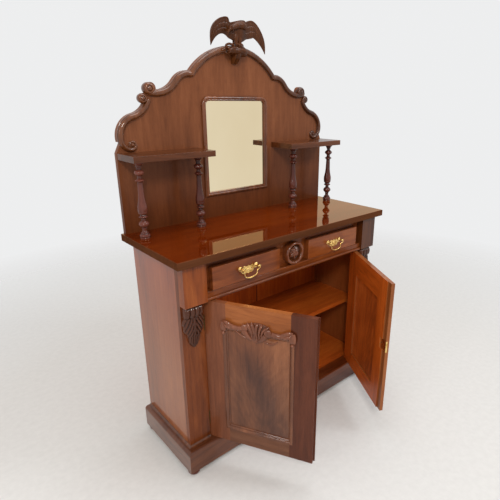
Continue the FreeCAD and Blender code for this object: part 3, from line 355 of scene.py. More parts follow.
def wood(key, dark, mid, light, plan=0, flat=False, figure=0.3, flame=0, rough=0.3,
         coat=0.22, coat_rough=0.1, spec=0.16, shift=0, fades=(), smoke=False, joint=None,
         cuts=False, top=None, family="mahogany_"):
    """Polished wood. plan turns the grain in plan, flat lays it level, shift moves it along.
    flame is the strength of a crotch figure. Each fade is (direction, start, end, tint): the
    wood takes the tint in full past the end; fades paint light and shade, and the inside colour
    on the backs of the doors. joint is the x of a dark joint line, and cuts paints shade into
    the hollows of a carving. top is (level, dark, light, reflection tint): what lies under the
    level has the two colours, and what lies over it a reflection tinted warm, a painted
    reflection. family goes before the key in the material's name."""
    n = material_nodes(key, family)
    place = n.add("Mapping", {"Vector": n.place(), "Location": (shift, shift * 0.7, shift * 0.3),
                              "Rotation": (0, 0, radians(plan))}).outputs[0]
    if flat:
        place = n.add("Mapping", {"Vector": place, "Rotation": (0, radians(-90), 0)}).outputs[0]
    broad = n.noise(place, (7, 7, 0.9), 4)
    streak = n.noise(place, (75, 75, 2.4), 5, 0.6, 0.4)
    fibre = n.noise(place, (420, 420, 9), 3)
    chatoyance = n.noise(place, (26, 26, 5), 2, 0.5, 1.2)
    tone = n.plus(n.times(broad, 0.55), n.times(streak, 0.3))
    tone = n.plus(tone, n.times(fibre, 0.15))
    tone = n.plus(tone, n.times(n.minus(chatoyance, 0.5), figure))
    if flame:
        tone = n.plus(tone, n.times(flame_figure(n, place), flame))
    colour = n.ramp(tone, (0.3, dark), (0.5, mid), (0.7, light))
    pore = n.ramp(n.noise(place, (1100, 1100, 34), 1), (0.58, 0), (0.7, 1))
    colour = n.blend(n.times(pore, PORE_STRENGTH), colour, tuple(c * 0.35 for c in dark))
    if top:
        level, edge_dark, edge_light, reflection_tint = top
        above = n.maths("GREATER_THAN", n.axis(n.place(), "Z"), level)
        edge = n.ramp(tone, (0.3, edge_dark), (0.7, edge_light))
        colour = n.blend(above, edge, colour)
    if smoke:
        colour = n.blend(smoke_plume(n, place), colour, SMOKE_TINT, "MULTIPLY")
    # Fades: painted light and shade, plus the inside colour on door backs, multiplied in by place
    # along a direction.
    for direction, start, end, tint in fades:
        along = n.add("VectorMath", {0: n.place(), 1: direction},
                      operation="DOT_PRODUCT").outputs["Value"]
        colour = n.blend(n.reach(along, start, end), colour, tint, "MULTIPLY")
    if joint is not None:
        off = n.maths("ABSOLUTE", n.minus(n.axis(n.place(), "X"), joint))
        colour = n.blend(n.maths("LESS_THAN", off, JOINT_HALF), colour, JOINT_COLOUR)
    # Painted shade: a carving's hollows darkened by the mesh's pointiness.
    if cuts:
        hollow_shade = n.ramp(n.add("NewGeometry").outputs["Pointiness"], *HOLLOW_SHADE)
        colour = n.blend(1, colour, hollow_shade, "MULTIPLY")
    gloss = n.plus(rough - GLOSS_SWING / 2, n.times(streak, GLOSS_SWING))
    bump = n.add("Bump", {"Height": pore, "Strength": 0.12, "Distance": PORE_DEPTH}, invert=True)
    shader = n.add("BsdfPrincipled", {
        "Base Color": colour, "Roughness": gloss, "Normal": bump.outputs[0], "IOR": CLEAR_IOR,
        "Specular IOR Level": spec, "Coat Weight": coat, "Coat Roughness": coat_rough,
        "Coat IOR": CLEAR_IOR})
    # Painted reflection: the upper face of the top mixes in a Fresnel reflection tinted warm.
    if top:
        glaze = n.add("BsdfAnisotropic", {"Color": reflection_tint, "Roughness": coat_rough})
        sheen = n.times(n.add("Fresnel", {"IOR": 2}).outputs[0], above)
        shader = n.add("MixShader", {0: sheen, 1: shader.outputs[0], 2: glaze.outputs[0]})
    return n.finish(shader)


def flame_figure(n, place):
    """Crotch figure: plumes that rise from the middle line and fall outwards."""
    sway = n.minus(n.noise(place, (5, 5, 4), 3, 0.6), 0.5)
    spread = n.maths("ABSOLUTE", n.plus(n.axis(place, "X"), n.times(sway, 0.14)))
    fall = n.times(n.maths("POWER", n.plus(spread, 0.012), 0.6), 1.25)
    ripple = n.times(n.noise(place, (30, 30, 14), 4, 0.6, 0.8), 0.05)
    rise = n.plus(n.minus(n.axis(place, "Z"), fall), ripple)
    bands = n.times(n.maths("SINE", n.times(rise, 95)), 0.045)
    fine = n.times(n.maths("SINE", n.times(rise, 310)), 0.02)
    cloud = n.times(n.minus(n.noise(place, (6, 6, 3.5), 3, 0.55, 1), 0.5), 0.7)
    core = n.times(n.maths("EXPONENT", n.times(spread, -22)), -0.1)
    return n.plus(n.plus(n.plus(bands, fine), cloud), core)


def smoke_plume(n, place):
    """Grey plume that runs from the middle of the panel down to its outer corner."""
    height = n.axis(place, "Z")
    sway = n.minus(n.noise(place, (16, 16, 8), 4, 0.6, 0.8), 0.5)
    across = n.plus(n.axis(place, "X"), n.times(sway, 0.16))
    line = n.times(n.minus(0.46, height), 0.34)
    off = n.maths("DIVIDE", n.minus(across, line), 0.062)
    core = n.maths("EXPONENT", n.times(n.times(off, off), -1))
    return n.times(core, n.reach(height, 0.6, 0.44))


UP = (0, 0, 1)
RIGHT = (1, 0, 0)
FRAME_DEPTH = 20.5  # just short of the back of a door's frame
PANEL_DEPTH = 11  # within the thickness of a door's panel
# Back tints: the inside colour, with painted light making the right door's back brighter than the
# left's.
REVERSE = {"left": (1.75, 1.1, 0.36), "right": (2.05, 1.32, 0.6)}


def reverse(side, depth):
    """Fade that tints what lies deeper in a door than the depth: its back, in the inside colour;
    the right door's back is brightened further with painted light.
    """
    inward = DOORS[side].to_3x3().normalized() @ Vector((0, 1, 0))
    start = (DOORS[side] @ Vector((0, depth, 0))).dot(inward)
    return (tuple(inward), start, start + 0.0002, REVERSE[side])


def meeting_edge_shade(start, end, tint):
    """Painted shade: fade that darkens the left door towards the edge where the doors meet."""
    across = DOORS["left"].to_3x3().normalized() @ Vector(RIGHT)
    base = DOORS["left"].translation.dot(across)
    return (tuple(across), base + start, base + end, tint)


def brass(name, rough=0.24, shade=1):
    n = material_nodes(name)
    blotch = n.noise(n.place(), (90, 90, 90), 4, 0.6)
    scuff = n.noise(n.place(), (900, 900, 900), 3)
    tones = ((0.3, (0.36, 0.2, 0.05)), (0.48, (0.8, 0.52, 0.17)), (0.66, (0.98, 0.74, 0.32)))
    colour = n.ramp(blotch, *[(at, tuple(c * shade for c in tone)) for at, tone in tones])
    gloss = n.plus(rough - 0.05, n.times(blotch, 0.2))
    bump = n.add("Bump", {"Height": scuff, "Strength": 0.15, "Distance": 0.0001})
    return n.finish(n.add("BsdfPrincipled", {"Base Color": colour, "Roughness": gloss,
                                             "Normal": bump.outputs[0], "Metallic": 1}))


def silvering(name):
    n = material_nodes(name)
    # The cream tint is partly the warm tone of old silvering and partly a painted reflection of a
    # cream room.
    colour = n.ramp(n.noise(n.place(), (3, 3, 2), 3), (0.3, (0.83, 0.69, 0.45)),
                    (0.7, (0.88, 0.75, 0.51)))
    foxing = n.noise(n.place(), (60, 60, 60), 4, 0.7)
    gloss = n.ramp(foxing, (0.55, 0.015), (0.85, 0.1))
    return n.finish(n.add("BsdfPrincipled", {"Base Color": colour, "Roughness": gloss,
                                             "Metallic": 1}))


PLAIN = ((0.055, 0.012, 0.003), (0.175, 0.042, 0.009), (0.3, 0.085, 0.02))
PALE = ((0.13, 0.036, 0.01), (0.26, 0.078, 0.02), (0.38, 0.13, 0.04))
wood("upright", *PLAIN, shift=0.3)
# Painted light and reflection: the side panel darker and redder towards the top, paler lower down
# where it reflects the floor.
wood("side", (0.13, 0.034, 0.008), (0.26, 0.072, 0.018), (0.36, 0.115, 0.034), figure=0.2,
     coat=0.75, shift=1.3, fades=((UP, 0.45, 0.85, (0.96, 0.66, 0.42)),))
wood("level", *PLAIN, flat=True, shift=2.1)
wood("shelf", (0.038, 0.01, 0.003), (0.105, 0.03, 0.009), (0.18, 0.056, 0.018), flat=True,
     shift=2.3)
# Painted shade: the plinth darker and browner to the right, under the open right door.
wood("plinth", (0.038, 0.01, 0.004), (0.11, 0.032, 0.012), (0.2, 0.064, 0.025), flat=True, coat=0.6,
     shift=2.9, fades=((RIGHT, -0.1, 0.35, (0.9, 0.66, 0.42)),))
wood("depth", (0.045, 0.013, 0.006), (0.125, 0.04, 0.018), (0.22, 0.08, 0.038), plan=-90, flat=True,
     coat=0.8, shift=3)
# Top board: its upper face carries a painted warm reflection tint.
wood("top", (0.075, 0.009, 0.001), (0.12, 0.015, 0.001), (0.175, 0.03, 0.003), flat=True,
     figure=0.2, rough=0.4, coat=0, coat_rough=0.035, spec=0, shift=4.4,
     top=(0.9118, (0.06, 0.02, 0.008), (0.135, 0.05, 0.023), (1, 0.76, 0.48)))
# Painted shade: the back panel darker towards the bottom, lighter up top.
wood("back", (0.115, 0.037, 0.015), (0.18, 0.06, 0.024), (0.24, 0.086, 0.036), figure=0.35,
     rough=0.4, coat=0.14, coat_rough=0.16, spec=0.08, shift=5.2,
     fades=((UP, 1.22, 0.92, (0.5, 0.36, 0.22)),))
# Painted shade: the frieze block on the right darker than the left one.
wood("block", (0.09, 0.018, 0.003), (0.225, 0.05, 0.008), (0.32, 0.085, 0.014), figure=0.4,
     coat=0.3, fades=((RIGHT, 0.2, 0.45, (0.34, 0.4, 0.62)),))
wood("drawer", (0.1, 0.022, 0.005), (0.215, 0.052, 0.011), (0.31, 0.09, 0.022), flat=True,
     figure=0.4, coat=0.3, shift=6.8)
# Painted shade: the left door's rails darker and greyer towards the bottom; their back takes the
# inside colour.
wood("rail_left", (0.14, 0.038, 0.01), (0.28, 0.082, 0.02), (0.42, 0.14, 0.04), plan=62, flat=True,
     figure=0.35, shift=7.7,
     fades=((UP, 0.5, 0.3, (0.52, 0.66, 1.25)), reverse("left", FRAME_DEPTH)))
# The right door's back: the inside colour, brightened with painted light.
wood("rail_right", *PALE, plan=120, flat=True, coat=0.2, shift=8.1,
     fades=(reverse("right", FRAME_DEPTH),))
# Painted shade: the left door's stiles darker towards the meeting edge; their back takes the inside
# colour.
wood("stile_left", (0.085, 0.024, 0.009), (0.185, 0.056, 0.022), (0.28, 0.094, 0.04), figure=0.25,
     shift=9.4,
     fades=(meeting_edge_shade(0.12, 0.34, (0.54, 0.44, 0.44)), reverse("left", FRAME_DEPTH)))
# The right door's back: the inside colour, brightened with painted light.
wood("stile_right", *PALE, figure=0.2, coat=0.2, shift=10.5, fades=(reverse("right", FRAME_DEPTH),))
# cuts=True paints shade into the hollows of the carving, feather, shell, rosette, turned and crest
# woods.
wood("carving", (0.046, 0.013, 0.006), (0.105, 0.033, 0.016), (0.21, 0.074, 0.04), coat=0.5,
     coat_rough=0.12, spec=0.05, cuts=True, shift=11)
wood("feather", (0.03, 0.009, 0.002), (0.085, 0.024, 0.005), (0.14, 0.046, 0.013), rough=0.42,
     coat=0.25, coat_rough=0.16, spec=0.08, cuts=True, shift=11.5)
wood("shell", (0.11, 0.034, 0.017), (0.23, 0.08, 0.042), (0.35, 0.135, 0.08), rough=0.26, coat=0.55,
     coat_rough=0.07, spec=0.08, cuts=True, shift=11.8)
wood("moulding", (0.04, 0.011, 0.004), (0.13, 0.038, 0.012), (0.25, 0.082, 0.028), rough=0.26,
     coat=0.8, coat_rough=0.09, spec=0.12, shift=12)
wood("rosette", (0.055, 0.012, 0.003), (0.165, 0.042, 0.012), (0.29, 0.09, 0.03), rough=0.24,
     coat=0.8, coat_rough=0.06, cuts=True, shift=12.6)
wood("turned", (0.035, 0.008, 0.005), (0.105, 0.025, 0.016), (0.18, 0.052, 0.034), rough=0.22,
     coat=0.6, coat_rough=0.06, spec=0.05, cuts=True, shift=13)
# Painted shade: the crest rails darker towards the right.
wood("crest", (0.05, 0.014, 0.004), (0.15, 0.046, 0.013), (0.28, 0.096, 0.03), rough=0.24, coat=0.7,
     coat_rough=0.08, spec=0.12, cuts=True, shift=12.3,
     fades=((RIGHT, -0.1, 0.25, (0.55, 0.48, 0.4)),))
wood("inside_level", (0.22, 0.036, 0.004), (0.42, 0.082, 0.009), (0.56, 0.14, 0.018), flat=True,
     rough=0.5, coat=0.1, coat_rough=0.3, shift=14, family="")
# Painted light: the back boards paler towards the left; the dark joint line is the boards' own.
wood("inside_upright", (0.22, 0.036, 0.004), (0.42, 0.078, 0.008), (0.56, 0.13, 0.016), rough=0.5,
     coat=0.1, coat_rough=0.3, shift=15, joint=0.081,
     fades=((RIGHT, 0.2, -0.1, (1.55, 1.75, 2.2)),), family="")
wood("drawer_lining", (0.2, 0.09, 0.035), (0.38, 0.19, 0.08), (0.52, 0.3, 0.14), plan=-90,
     flat=True, rough=0.55, coat=0.1, coat_rough=0.4, shift=16, family="")
# Painted light: the left door's panel lighter towards the top; its back takes the inside colour.
wood("panel_left_flame", (0.09, 0.03, 0.014), (0.165, 0.058, 0.025), (0.235, 0.092, 0.042), plan=62,
     figure=0.25, flame=0.6, smoke=True, rough=0.32, coat=0.5,
     fades=((UP, 0.35, 0.66, (1.3, 1.18, 1.02)), reverse("left", PANEL_DEPTH)), family="")
# The right door's back: the inside colour, brightened with painted light.
wood("panel_right", (0.12, 0.036, 0.014), (0.24, 0.076, 0.027), (0.35, 0.13, 0.05), plan=-60,
     flame=0.5, rough=0.35, coat=0.3, coat_rough=0.2, fades=(reverse("right", PANEL_DEPTH),),
     family="")
brass("brass")
brass("old_brass", 0.4, 0.12)
silvering("mirror_silver")

# the CAD nodes that each material goes on; * is left and right
CAD_FINISH = {
    "top": "top_board",
    "shelf": "small_shelf_*",
    "side": "side_panel_*",
    "upright": "pilaster_*",
    "block": "frieze_blocks",
    "level": "frieze_framing top_rail drawer_rail",
    "drawer": "drawer_front_*",
    "plinth": "plinth_front plinth_cap",
    "depth": "plinth_returns",
    "moulding": "base_cove_mouldings door_moulding_* mirror_frame",
    "turned": "bun_feet shelf_spindles",
    "back": "back_panel",
    "inside_upright": "back_boards",
    "inside_level": "bottom_board cupboard_shelf",
    "drawer_lining": "mirror_backboard shelf_bearers drawer_runners drawer_box_*",
    "stile_left": "door_stiles_left closing_strip",
    "stile_right": "door_stiles_right",
    "rail_left": "door_rails_left",
    "rail_right": "door_rails_right",
    "panel_left_flame": "door_panel_left",
    "panel_right": "door_panel_right",
    "shell": "door_crest_*",
    "old_brass": "hinge_leaves_fixed hinge_leaves_*",
    "brass": "cupboard_lock lock_bolt handle_plate_* handle_bail_*",
    "mirror_silver": "mirror_glass",
    "rosette": "frieze_roundel",
    "carving": "corbel_*",
    "crest": "crest_moulding_* shoulder_scroll_*",
    "feather": "eagle eagle_perch",
}
for finish_name, patterns in CAD_FINISH.items():
    for pattern in patterns.split():
        for node_name in sorted({pattern.replace("*", side) for side in SIDES}):
            slots = NODES[node_name].data.materials
            slots.clear()
            slots.append(M[finish_name])


# ---- turned spindles
SPINDLE_X = (-511, -262, 262, 511)
SPINDLE_Y = 323
# (radius, share of the height, bulge on the way there)
SPINDLE = [
    (18, 0), (18.5, 0.004), (18.5, 0.018), (17.8, 0.022), (19.5, 0.03), (19.7, 0.045, 0.6),
    (18.6, 0.06), (15.4, 0.066), (14, 0.075), (14, 0.085, 1.2), (10.5, 0.095), (8.5, 0.12, -1),
    (8.5, 0.135), (10, 0.142), (9.4, 0.15), (8.5, 0.248, 10.2), (8, 0.262), (8, 0.272),
    (13.6, 0.281), (14.5, 0.287), (14.5, 0.303, 2.2), (12, 0.31), (11, 0.32), (14, 0.328),
    (17.5, 0.362, 1.4), (17.5, 0.44, 1), (11, 0.58, -1), (9.8, 0.7), (9.4, 0.738), (12, 0.748),
    (14, 0.757), (14, 0.778, 3), (11.4, 0.786), (8.5, 0.797), (8.5, 0.82), (9.8, 0.828),
    (8.5, 0.905, 8.9), (8, 0.915), (8, 0.928), (11, 0.934), (16.5, 0.972, -2.2), (19, 0.981),
    (19, 1)]


def turning(points, tall, steps=7):
    """(radius, height) points through the bulges of a turned profile."""
    fine = [(points[0][0], points[0][1] * tall)]
    for radius, share, *bulge in points[1:]:
        r0, h0 = fine[-1]
        h1 = share * tall
        bulge = bulge[0] if bulge else 0
        count = steps if bulge else 1
        for i in range(1, count + 1):
            t = i / count
            fine.append((r0 + (radius - r0) * t + bulge * 4 * t * (1 - t), h0 + (h1 - h0) * t))
    return fine


def make_spindles():
    form = Form()
    profile = turning(SPINDLE, SHELF_Z - SHELF_THICK - TOP_Z)
    for x in SPINDLE_X:
        form.lathe(profile, (x, SPINDLE_Y, TOP_Z), sides=36)
    build(form, "turned_spindles", "turned", ["shelf_spindles"])


# ---- scrolled crest
CROWN_RADIUS = 272
CROWN_Z = 1340
CROWN_GAP = 44  # where the rail comes out from behind the perch
CROWN_END = 37.6  # degrees
RAIL_WIDTH = 26
SHOULDER_WIDTH = 23
RAIL_OUT = 15
SIDE_START = (218, 1508, 5)  # (x, z, heading)
SIDE_ARCS = ((75, -58), (112, 72))  # (radius, turn)
SHOULDER_START = (404.6, 1411.1, -70.3)
SHOULDER_ARCS = ((93.8, 56), (76.4, -85.7), (38, -88.2))
COIL = (16, 10.5, 430)  # radius, how much it loses, degrees
# (share of the shoulder's length, size)
SWELL = ((0, 0.78), (0.08, 0.95), (0.3, 1.08), (0.55, 1.05), (0.72, 0.82), (0.86, 0.5), (1, 0.3))
ROLL_X = {"left": 400, "right": 391}  # ball that ends the rail
BUD_X = {"left": 428, "right": 421}  # bud over the shoulder
ROLL_Z = 1450
BUD_Z = 1415


def arc_run(start, arcs, count=14):
    """Tangent arcs from (x, z, heading): each arc is (radius, signed turn)."""
    x, z, heading = start
    turn = radians(heading)
    run = []
    for radius, sweep in arcs:
        side = copysign(1, sweep)
        cx = x - side * radius * sin(turn)
        cz = z + side * radius * cos(turn)
        first = atan2(z - cz, x - cx)
        total = radians(sweep)
        for share in np.linspace(0, 1, count)[(1 if run else 0):]:
            angle = first + total * share
            run.append((cx + radius * cos(angle), cz + radius * sin(angle)))
        turn += total
        x = cx + side * radius * sin(turn)
        z = cz - side * radius * cos(turn)
    return run


def rail_section(width):
    """Half-round rail between two small fillets: (across, out) points."""
    half = width / 2
    foot = [(half, 0), (half, RAIL_OUT * 0.22), (half * 0.9, RAIL_OUT * 0.26)]
    points = [(-across, out) for across, out in foot]
    for angle in np.linspace(0.12, pi - 0.12, 17):
        points.append((-cos(angle) * half * 0.86, RAIL_OUT * (0.18 + 0.82 * sin(angle) ** 0.85)))
    return np.array(points + foot[::-1])


def scroll_ball(form, x, z, radius, y):
    """Rolled end of a rail: a ball with a ring cut round its eye."""
    profile = [(0.94, 0.6), (1, 0.3), (1, -0.05), (0.97, -0.3), (0.88, -0.52),
               (0.74, -0.68), (0.6, -0.74), (0.5, -0.72), (0.44, -0.64), (0.4, -0.66),
               (0.3, -0.76), (0.14, -0.83), (0, -0.84)]
    form.lathe([(a * radius, b * radius) for a, b in profile], (x, y, z), axis="y", sides=32)


def make_crest(side):
    """The half-round rail over the crown and down one side, ending in a ball, with the
    shoulder scroll and its bud below it. Drawn on the right and mirrored for the left."""
    form = Form()
    y = PANEL_Y + 0.2
    angles = np.linspace(acos(CROWN_GAP / CROWN_RADIUS), radians(CROWN_END), 34)
    section = rail_section(RAIL_WIDTH)
    form.sweep([(CROWN_RADIUS * cos(a), y, CROWN_Z + CROWN_RADIUS * sin(a))
                for a in angles], section)
    run = arc_run(SIDE_START, SIDE_ARCS, 20)
    run = [(213.5, 1507.4)] + run[1:] + [(ROLL_X[side] - 10, run[-1][1] + 4)]
    form.sweep([(x, y, z) for x, z in run], section * (1, 0.96))
    scroll_ball(form, ROLL_X[side], ROLL_Z, 22.5, y)

    run = arc_run(SHOULDER_START, SHOULDER_ARCS, 20)
    radius, loss, turn = COIL
    end = np.array(run[-1])
    last = end - np.array(run[-2])
    last /= np.linalg.norm(last)
    cx, cz = end + radius * np.array([last[1], -last[0]])
    first = atan2(end[1] - cz, end[0] - cx)
    for share in np.linspace(0, 1, 34)[1:]:
        angle = first - radians(turn) * share
        reach = radius - loss * share
        run.append((cx + reach * cos(angle), cz + reach * sin(angle)))
    run = np.array([(x, y, z) for x, z in run])
    length = np.concatenate([[0], np.cumsum(np.linalg.norm(np.diff(run, axis=0), axis=1))])
    swell = np.interp(length / length[-1], *zip(*SWELL))
    form.sweep(run, rail_section(SHOULDER_WIDTH)[None] * swell[:, None, None])
    form.lathe([(14.5, 0), (14.5, -4), (12, -5), (0, -5.2)], (cx, y, cz), axis="y", sides=28)
    form.ball((cx, y - 5, cz), (5.6, 7, 5.6))
    scroll_ball(form, BUD_X[side], BUD_Z, 18, y)
    form = form.moved(lambda p: np.array([p[0], p[1], max(p[2], SHELF_Z + 0.2)]))
    build(form if side == "right" else form.mirrored(), "scroll_rail_" + side, "crest",
          ["crest_moulding_" + side, "shoulder_scroll_" + side])


# ---- eagle
EAGLE_X = 4
EAGLE_Y = 392
FEET_Z = 1629
# the upper and lower outline of the spread wings, as (x, z) from the feet
CREST_LINE = [
    (-137, -14), (-136.5, 22), (-131, 47), (-118, 67), (-95, 85), (-71, 94), (-55, 94), (-49, 88),
    (-46, 78), (-38, 77), (-20, 82), (6, 88), (26, 89), (36, 85), (42, 86), (54, 92), (74, 92.5),
    (96, 81), (118, 57), (133, 31), (141, 3), (143, -29)]
HEM_LINE = [
    (-135.5, -14), (-124, 4), (-110, 19), (-92, 30), (-74, 32), (-60, 26), (-50, 19), (-40, 16),
    (-28, 12), (-10, 6), (10, 6), (24, 12), (38, 20), (52, 23), (66, 26), (80, 29), (96, 20),
    (111, 8), (129, -11), (142, -30)]


def make_eagle():
    """Bird with spread wings, its neck stretched forward and its head down to the left."""
    form = Form()
    columns, levels = 150, 40
    top = spline(CREST_LINE, columns)
    hem = spline(HEM_LINE, columns)

    def wing(i, share):
        """Place of a wing's point and how far it stands out; share runs from crest to hem."""
        x, z = top[i] * (1 - share) + hem[i] * share
        reach = abs(x - 2)
        deep = 4.2 + 15 * bell(reach, 34)
        belly = sin(pi * (share * 0.94 + 0.05)) ** 0.45
        end = min(1, min(i, columns - 1 - i) / 12) ** 0.6
        tier = (share * 3.2) % 1 if share < 0.62 else (share - 0.62) / 0.38
        barb = wave(i + (2.5 if share < 0.31 else 0), 5)
        carve = (1 * barb ** 0.5 - 1.5 * tier ** 3) * min(1, reach / 26)
        rim = 2.2 * bell(share, 0.07)
        return x, z, ((deep + carve) * belly + rim) * end + 0.5

    for face in (1, -1):
        rows = [[(EAGLE_X + x, EAGLE_Y - face * out, FEET_Z + z) for x, z, out
                 in (wing(i, share) for i in range(columns))]
                for share in np.linspace(0, 1, levels)]
        form.relief(rows, EAGLE_Y)

    def at(*rows):
        return [(EAGLE_X + x, EAGLE_Y + y, FEET_Z + z, *sizes) for x, y, z, *sizes in rows]

    # shoulders and neck, beak, eye, nostrils and brow
    form.tube(at((26, -12, 62, 12), (8, -16, 68, 15), (-12, -18, 67, 13.5), (-28, -20, 62, 11),
                 (-40, -21, 57, 9.6), (-49, -21, 53, 9.8), (-56, -21, 48, 7.6),
                 (-60, -21, 44, 4)), 60, up=(0.3, -1, 0.3), sides=28)
    form.tube(at((-54, -21, 49, 5.6), (-61, -21.5, 43, 4.8), (-66, -22, 36, 3.2),
                 (-66.5, -22, 29, 0.8)), 20, up=(0, -1, 0.1))
    form.ball(*at((-51, -29.5, 55)), (3.2, 2.6, 3.2), 16)
    form.ball(*at((-58, -27, 44)), (2.2, 2, 2), 12)
    form.ball(*at((-45, -29, 45)), (2.2, 2, 2), 12)
    form.tube(at((-44, -28, 62, 1.8), (-51, -30, 60, 2.2), (-58, -27, 53, 1.2)), 12)
    # legs in feathered breeches with three toes each, and the tail behind them
    for x in (-17.5, 1.5):
        form.tube(at((x, -4, 34, 11), (x, -7, 20, 9.6), (x, -7, 8, 8), (x, -7, -1, 7.4)), 18,
                  up=(0, -1, 0.05), sides=18)
        for toe in (-1, 0, 1):
            form.tube(at((x, -6, 1, 3.6), (x + toe * 6, -14, -1, 3.2),
                         (x + toe * 8, -19, -6, 2.4), (x + toe * 8, -20, -13, 0.8)), 12,
                      up=(0, 0.3, 1), sides=10)
    for off in (-10.5, -3.5, 3.5, 10.5):
        form.blade(at((-6 + off * 0.6, 7, 30, 6, 3), (-7 + off * 0.9, 8, 14, 6.4, 3.4),
                      (-8 + off, 9, -2, 5, 3)), 12, keel=0.2)
    build(form, "carved_eagle", "feather", ["eagle"], sharp=50)


LOG_RADIUS = ((0, 12), (0.1, 13.5), (0.3, 19), (0.55, 22), (0.8, 21), (0.93, 17), (1, 9))
LOG_Y = ((0, 385), (0.2, 390), (1, 395))
LOG_Z = ((0, 1600), (0.3, 1605), (0.7, 1604), (1, 1598))
LOG_X = (-56, 102)  # where the log starts, and its length
LOG_SAWN = (-56, 384.5, 1599.5)
LOG_TURN = 28


def make_perch():
    """Log with its sawn end to the viewer's left, on a bracket against the panel."""
    form = Form()
    rings = []
    for share in np.linspace(0, 1, 46):
        radius, cy, cz = (np.interp(share, *zip(*rows)) for rows in (LOG_RADIUS, LOG_Y, LOG_Z))
        ring = []
        for angle in np.linspace(0, 2 * pi, 40, endpoint=False):
            bark = (1 + 0.035 * sin(5 * angle + 7 * share) + 0.02 * sin(11 * angle - 9 * share))
            ring.append((LOG_X[0] + LOG_X[1] * share,
                         min(cy + radius * bark * cos(angle), PANEL_Y),
                         min(cz + radius * bark * sin(angle), FEET_Z - 1.5)))
        rings.append(ring)
    form.loft(rings)
    sawn = Form()
    sawn.lathe([(12.4, 6), (13.4, 0), (12.8, -4), (10.6, -5.6), (8.4, -4.4), (6.4, -1),
                (4.6, 0), (3.2, -1.6), (0, -2.2)], (0, 0, 0), axis="x", sides=36)
    turn = Matrix.Rotation(radians(LOG_TURN), 3, "Z")
    sawn = sawn.moved(lambda p: np.array(turn @ Vector(p)) + np.array(LOG_SAWN))
    form.add(sawn.points, sawn.faces)
    # a broken twig that curls over the log, and a knot at its far end
    form.tube([(-64, 388, 1609, 2.6), (-63, 386, 1620, 4), (-52, 383, 1625.5, 4.6),
               (-38, 382, 1624.5, 4.8), (-22, 383, 1618, 4)], 26)
    form.tube([(22, 396, 1610, 15), (32, 399, 1604, 14), (40, 402, 1597, 11),
               (44, 404, 1590, 6)], 18, sides=18)
    bracket = []
    for share in np.linspace(0, 1, 16):
        half = 15.5 - 3 * share ** 2
        nose = 376 + 28 * share ** 2.2
        bracket.append([(-3.5 + u * half,
                         nose + 8 * u ** 4 - 3 * bell(u - 0.15, 0.35)
                         + 4 * bell(u + 0.55, 0.14), 1598 - 44 * share)
                        for u in np.linspace(-1, 1, 25)])
    form.relief(bracket, PANEL_Y)
    build(form, "log_perch", "feather", ["eagle_perch"], sharp=40)


# ---- corbels
# by share of the height, from the top: how far the leaf stands out, and its half width
CORBEL_OUT = (
    (0, 12), (0.03, 19), (0.08, 26), (0.14, 28), (0.2, 26), (0.27, 20), (0.3, 17), (0.45, 20),
    (0.6, 19), (0.75, 15), (0.88, 11), (1, 4))
CORBEL_HALF = (
    (0, 0.8), (0.1, 0.9), (0.26, 0.88), (0.285, 0.82), (0.34, 0.96), (0.43, 1), (0.47, 0.92),
    (0.56, 0.96), (0.6, 0.88), (0.64, 0.7), (0.72, 0.64), (0.76, 0.56), (0.86, 0.5), (0.95, 0.34),
    (1, 0.1))


def ease(value, low, high):
    """Smooth step from 0 at low to 1 at high."""
    share = min(max((value - low) / (high - low), 0), 1)
    return share * share * (3 - 2 * share)


def acanthus(u, v, s):
    """How far a corbel's carving stands out: u across, v down, s from edge to edge."""
    flute = 6.5 * wave(u + 0.95, 0.475) ** 0.6
    flute -= 7 * ease(v, 0.26, 0.285) * (1 - ease(v, 0.285, 0.31))
    rib = 5.6 * wave(v - 0.3 - 0.44 * abs(u), 0.145) ** 0.7 * (1 - bell(u, 0.1))
    rib += 4 * bell(u, 0.075) - 3 * bell(abs(u) - 0.19, 0.05)
    tip = 4.5 * wave(abs(u) + 0.02, 0.2) ** 0.6
    at_tip = ease(v, 0.66, 0.74)
    on_leaf = ease(v, 0.27, 0.3)
    leaf = rib * (1 - at_tip) + tip * at_tip
    return flute * (1 - on_leaf) + leaf * on_leaf - 8 * abs(s) ** 5


def make_corbels():
    """Reeded, rolled head over an acanthus leaf that hangs down to a fluted tip."""
    (x0, x1), (y_front, y_back), (z0, z1) = node_box("corbel_right")
    front = []
    for v in np.linspace(0, 1, 150):
        half = np.interp(v, *zip(*CORBEL_HALF))
        out = np.interp(v, *zip(*CORBEL_OUT))
        row = []
        for s in np.linspace(-1, 1, 61):
            u = s * half
            row.append(((x0 + x1) / 2 + u * ((x1 - x0) / 2),
                        y_back - out * (1 - 0.18 * u ** 2) - acanthus(u, v, s),
                        z1 - v * (z1 - z0)))
        front.append(row)
    form = Form()
    form.relief(front, y_back)
    form = form.moved(lambda p: np.clip(p, (x0, y_front, z0), (x1, y_back, z1)))
    for side, made in (("right", form), ("left", form.mirrored())):
        build(made, "acanthus_corbel_" + side, "carving", ["corbel_" + side], sharp=60)


# ---- roundel
RING = [
    (48.6, 0), (49.8, -8), (50, -18), (49.2, -25), (47, -29.6), (43.6, -31.8), (40, -31.2),
    (37.2, -28.2), (35.4, -23), (33.4, -16), (30, -12.4), (22, -11.2), (0, -11)]
BOSS = [(22, -10), (22.4, -15), (19, -20), (12, -23.4), (0, -24.8)]
# (share of the length, radius, half width, height)
PETAL = ((0, 2.5, 3.4, 25.6), (0.3, 9, 6.6, 27), (0.65, 18, 8.2, 23.4), (1, 26.5, 4, 14.6))
PETALS = 5


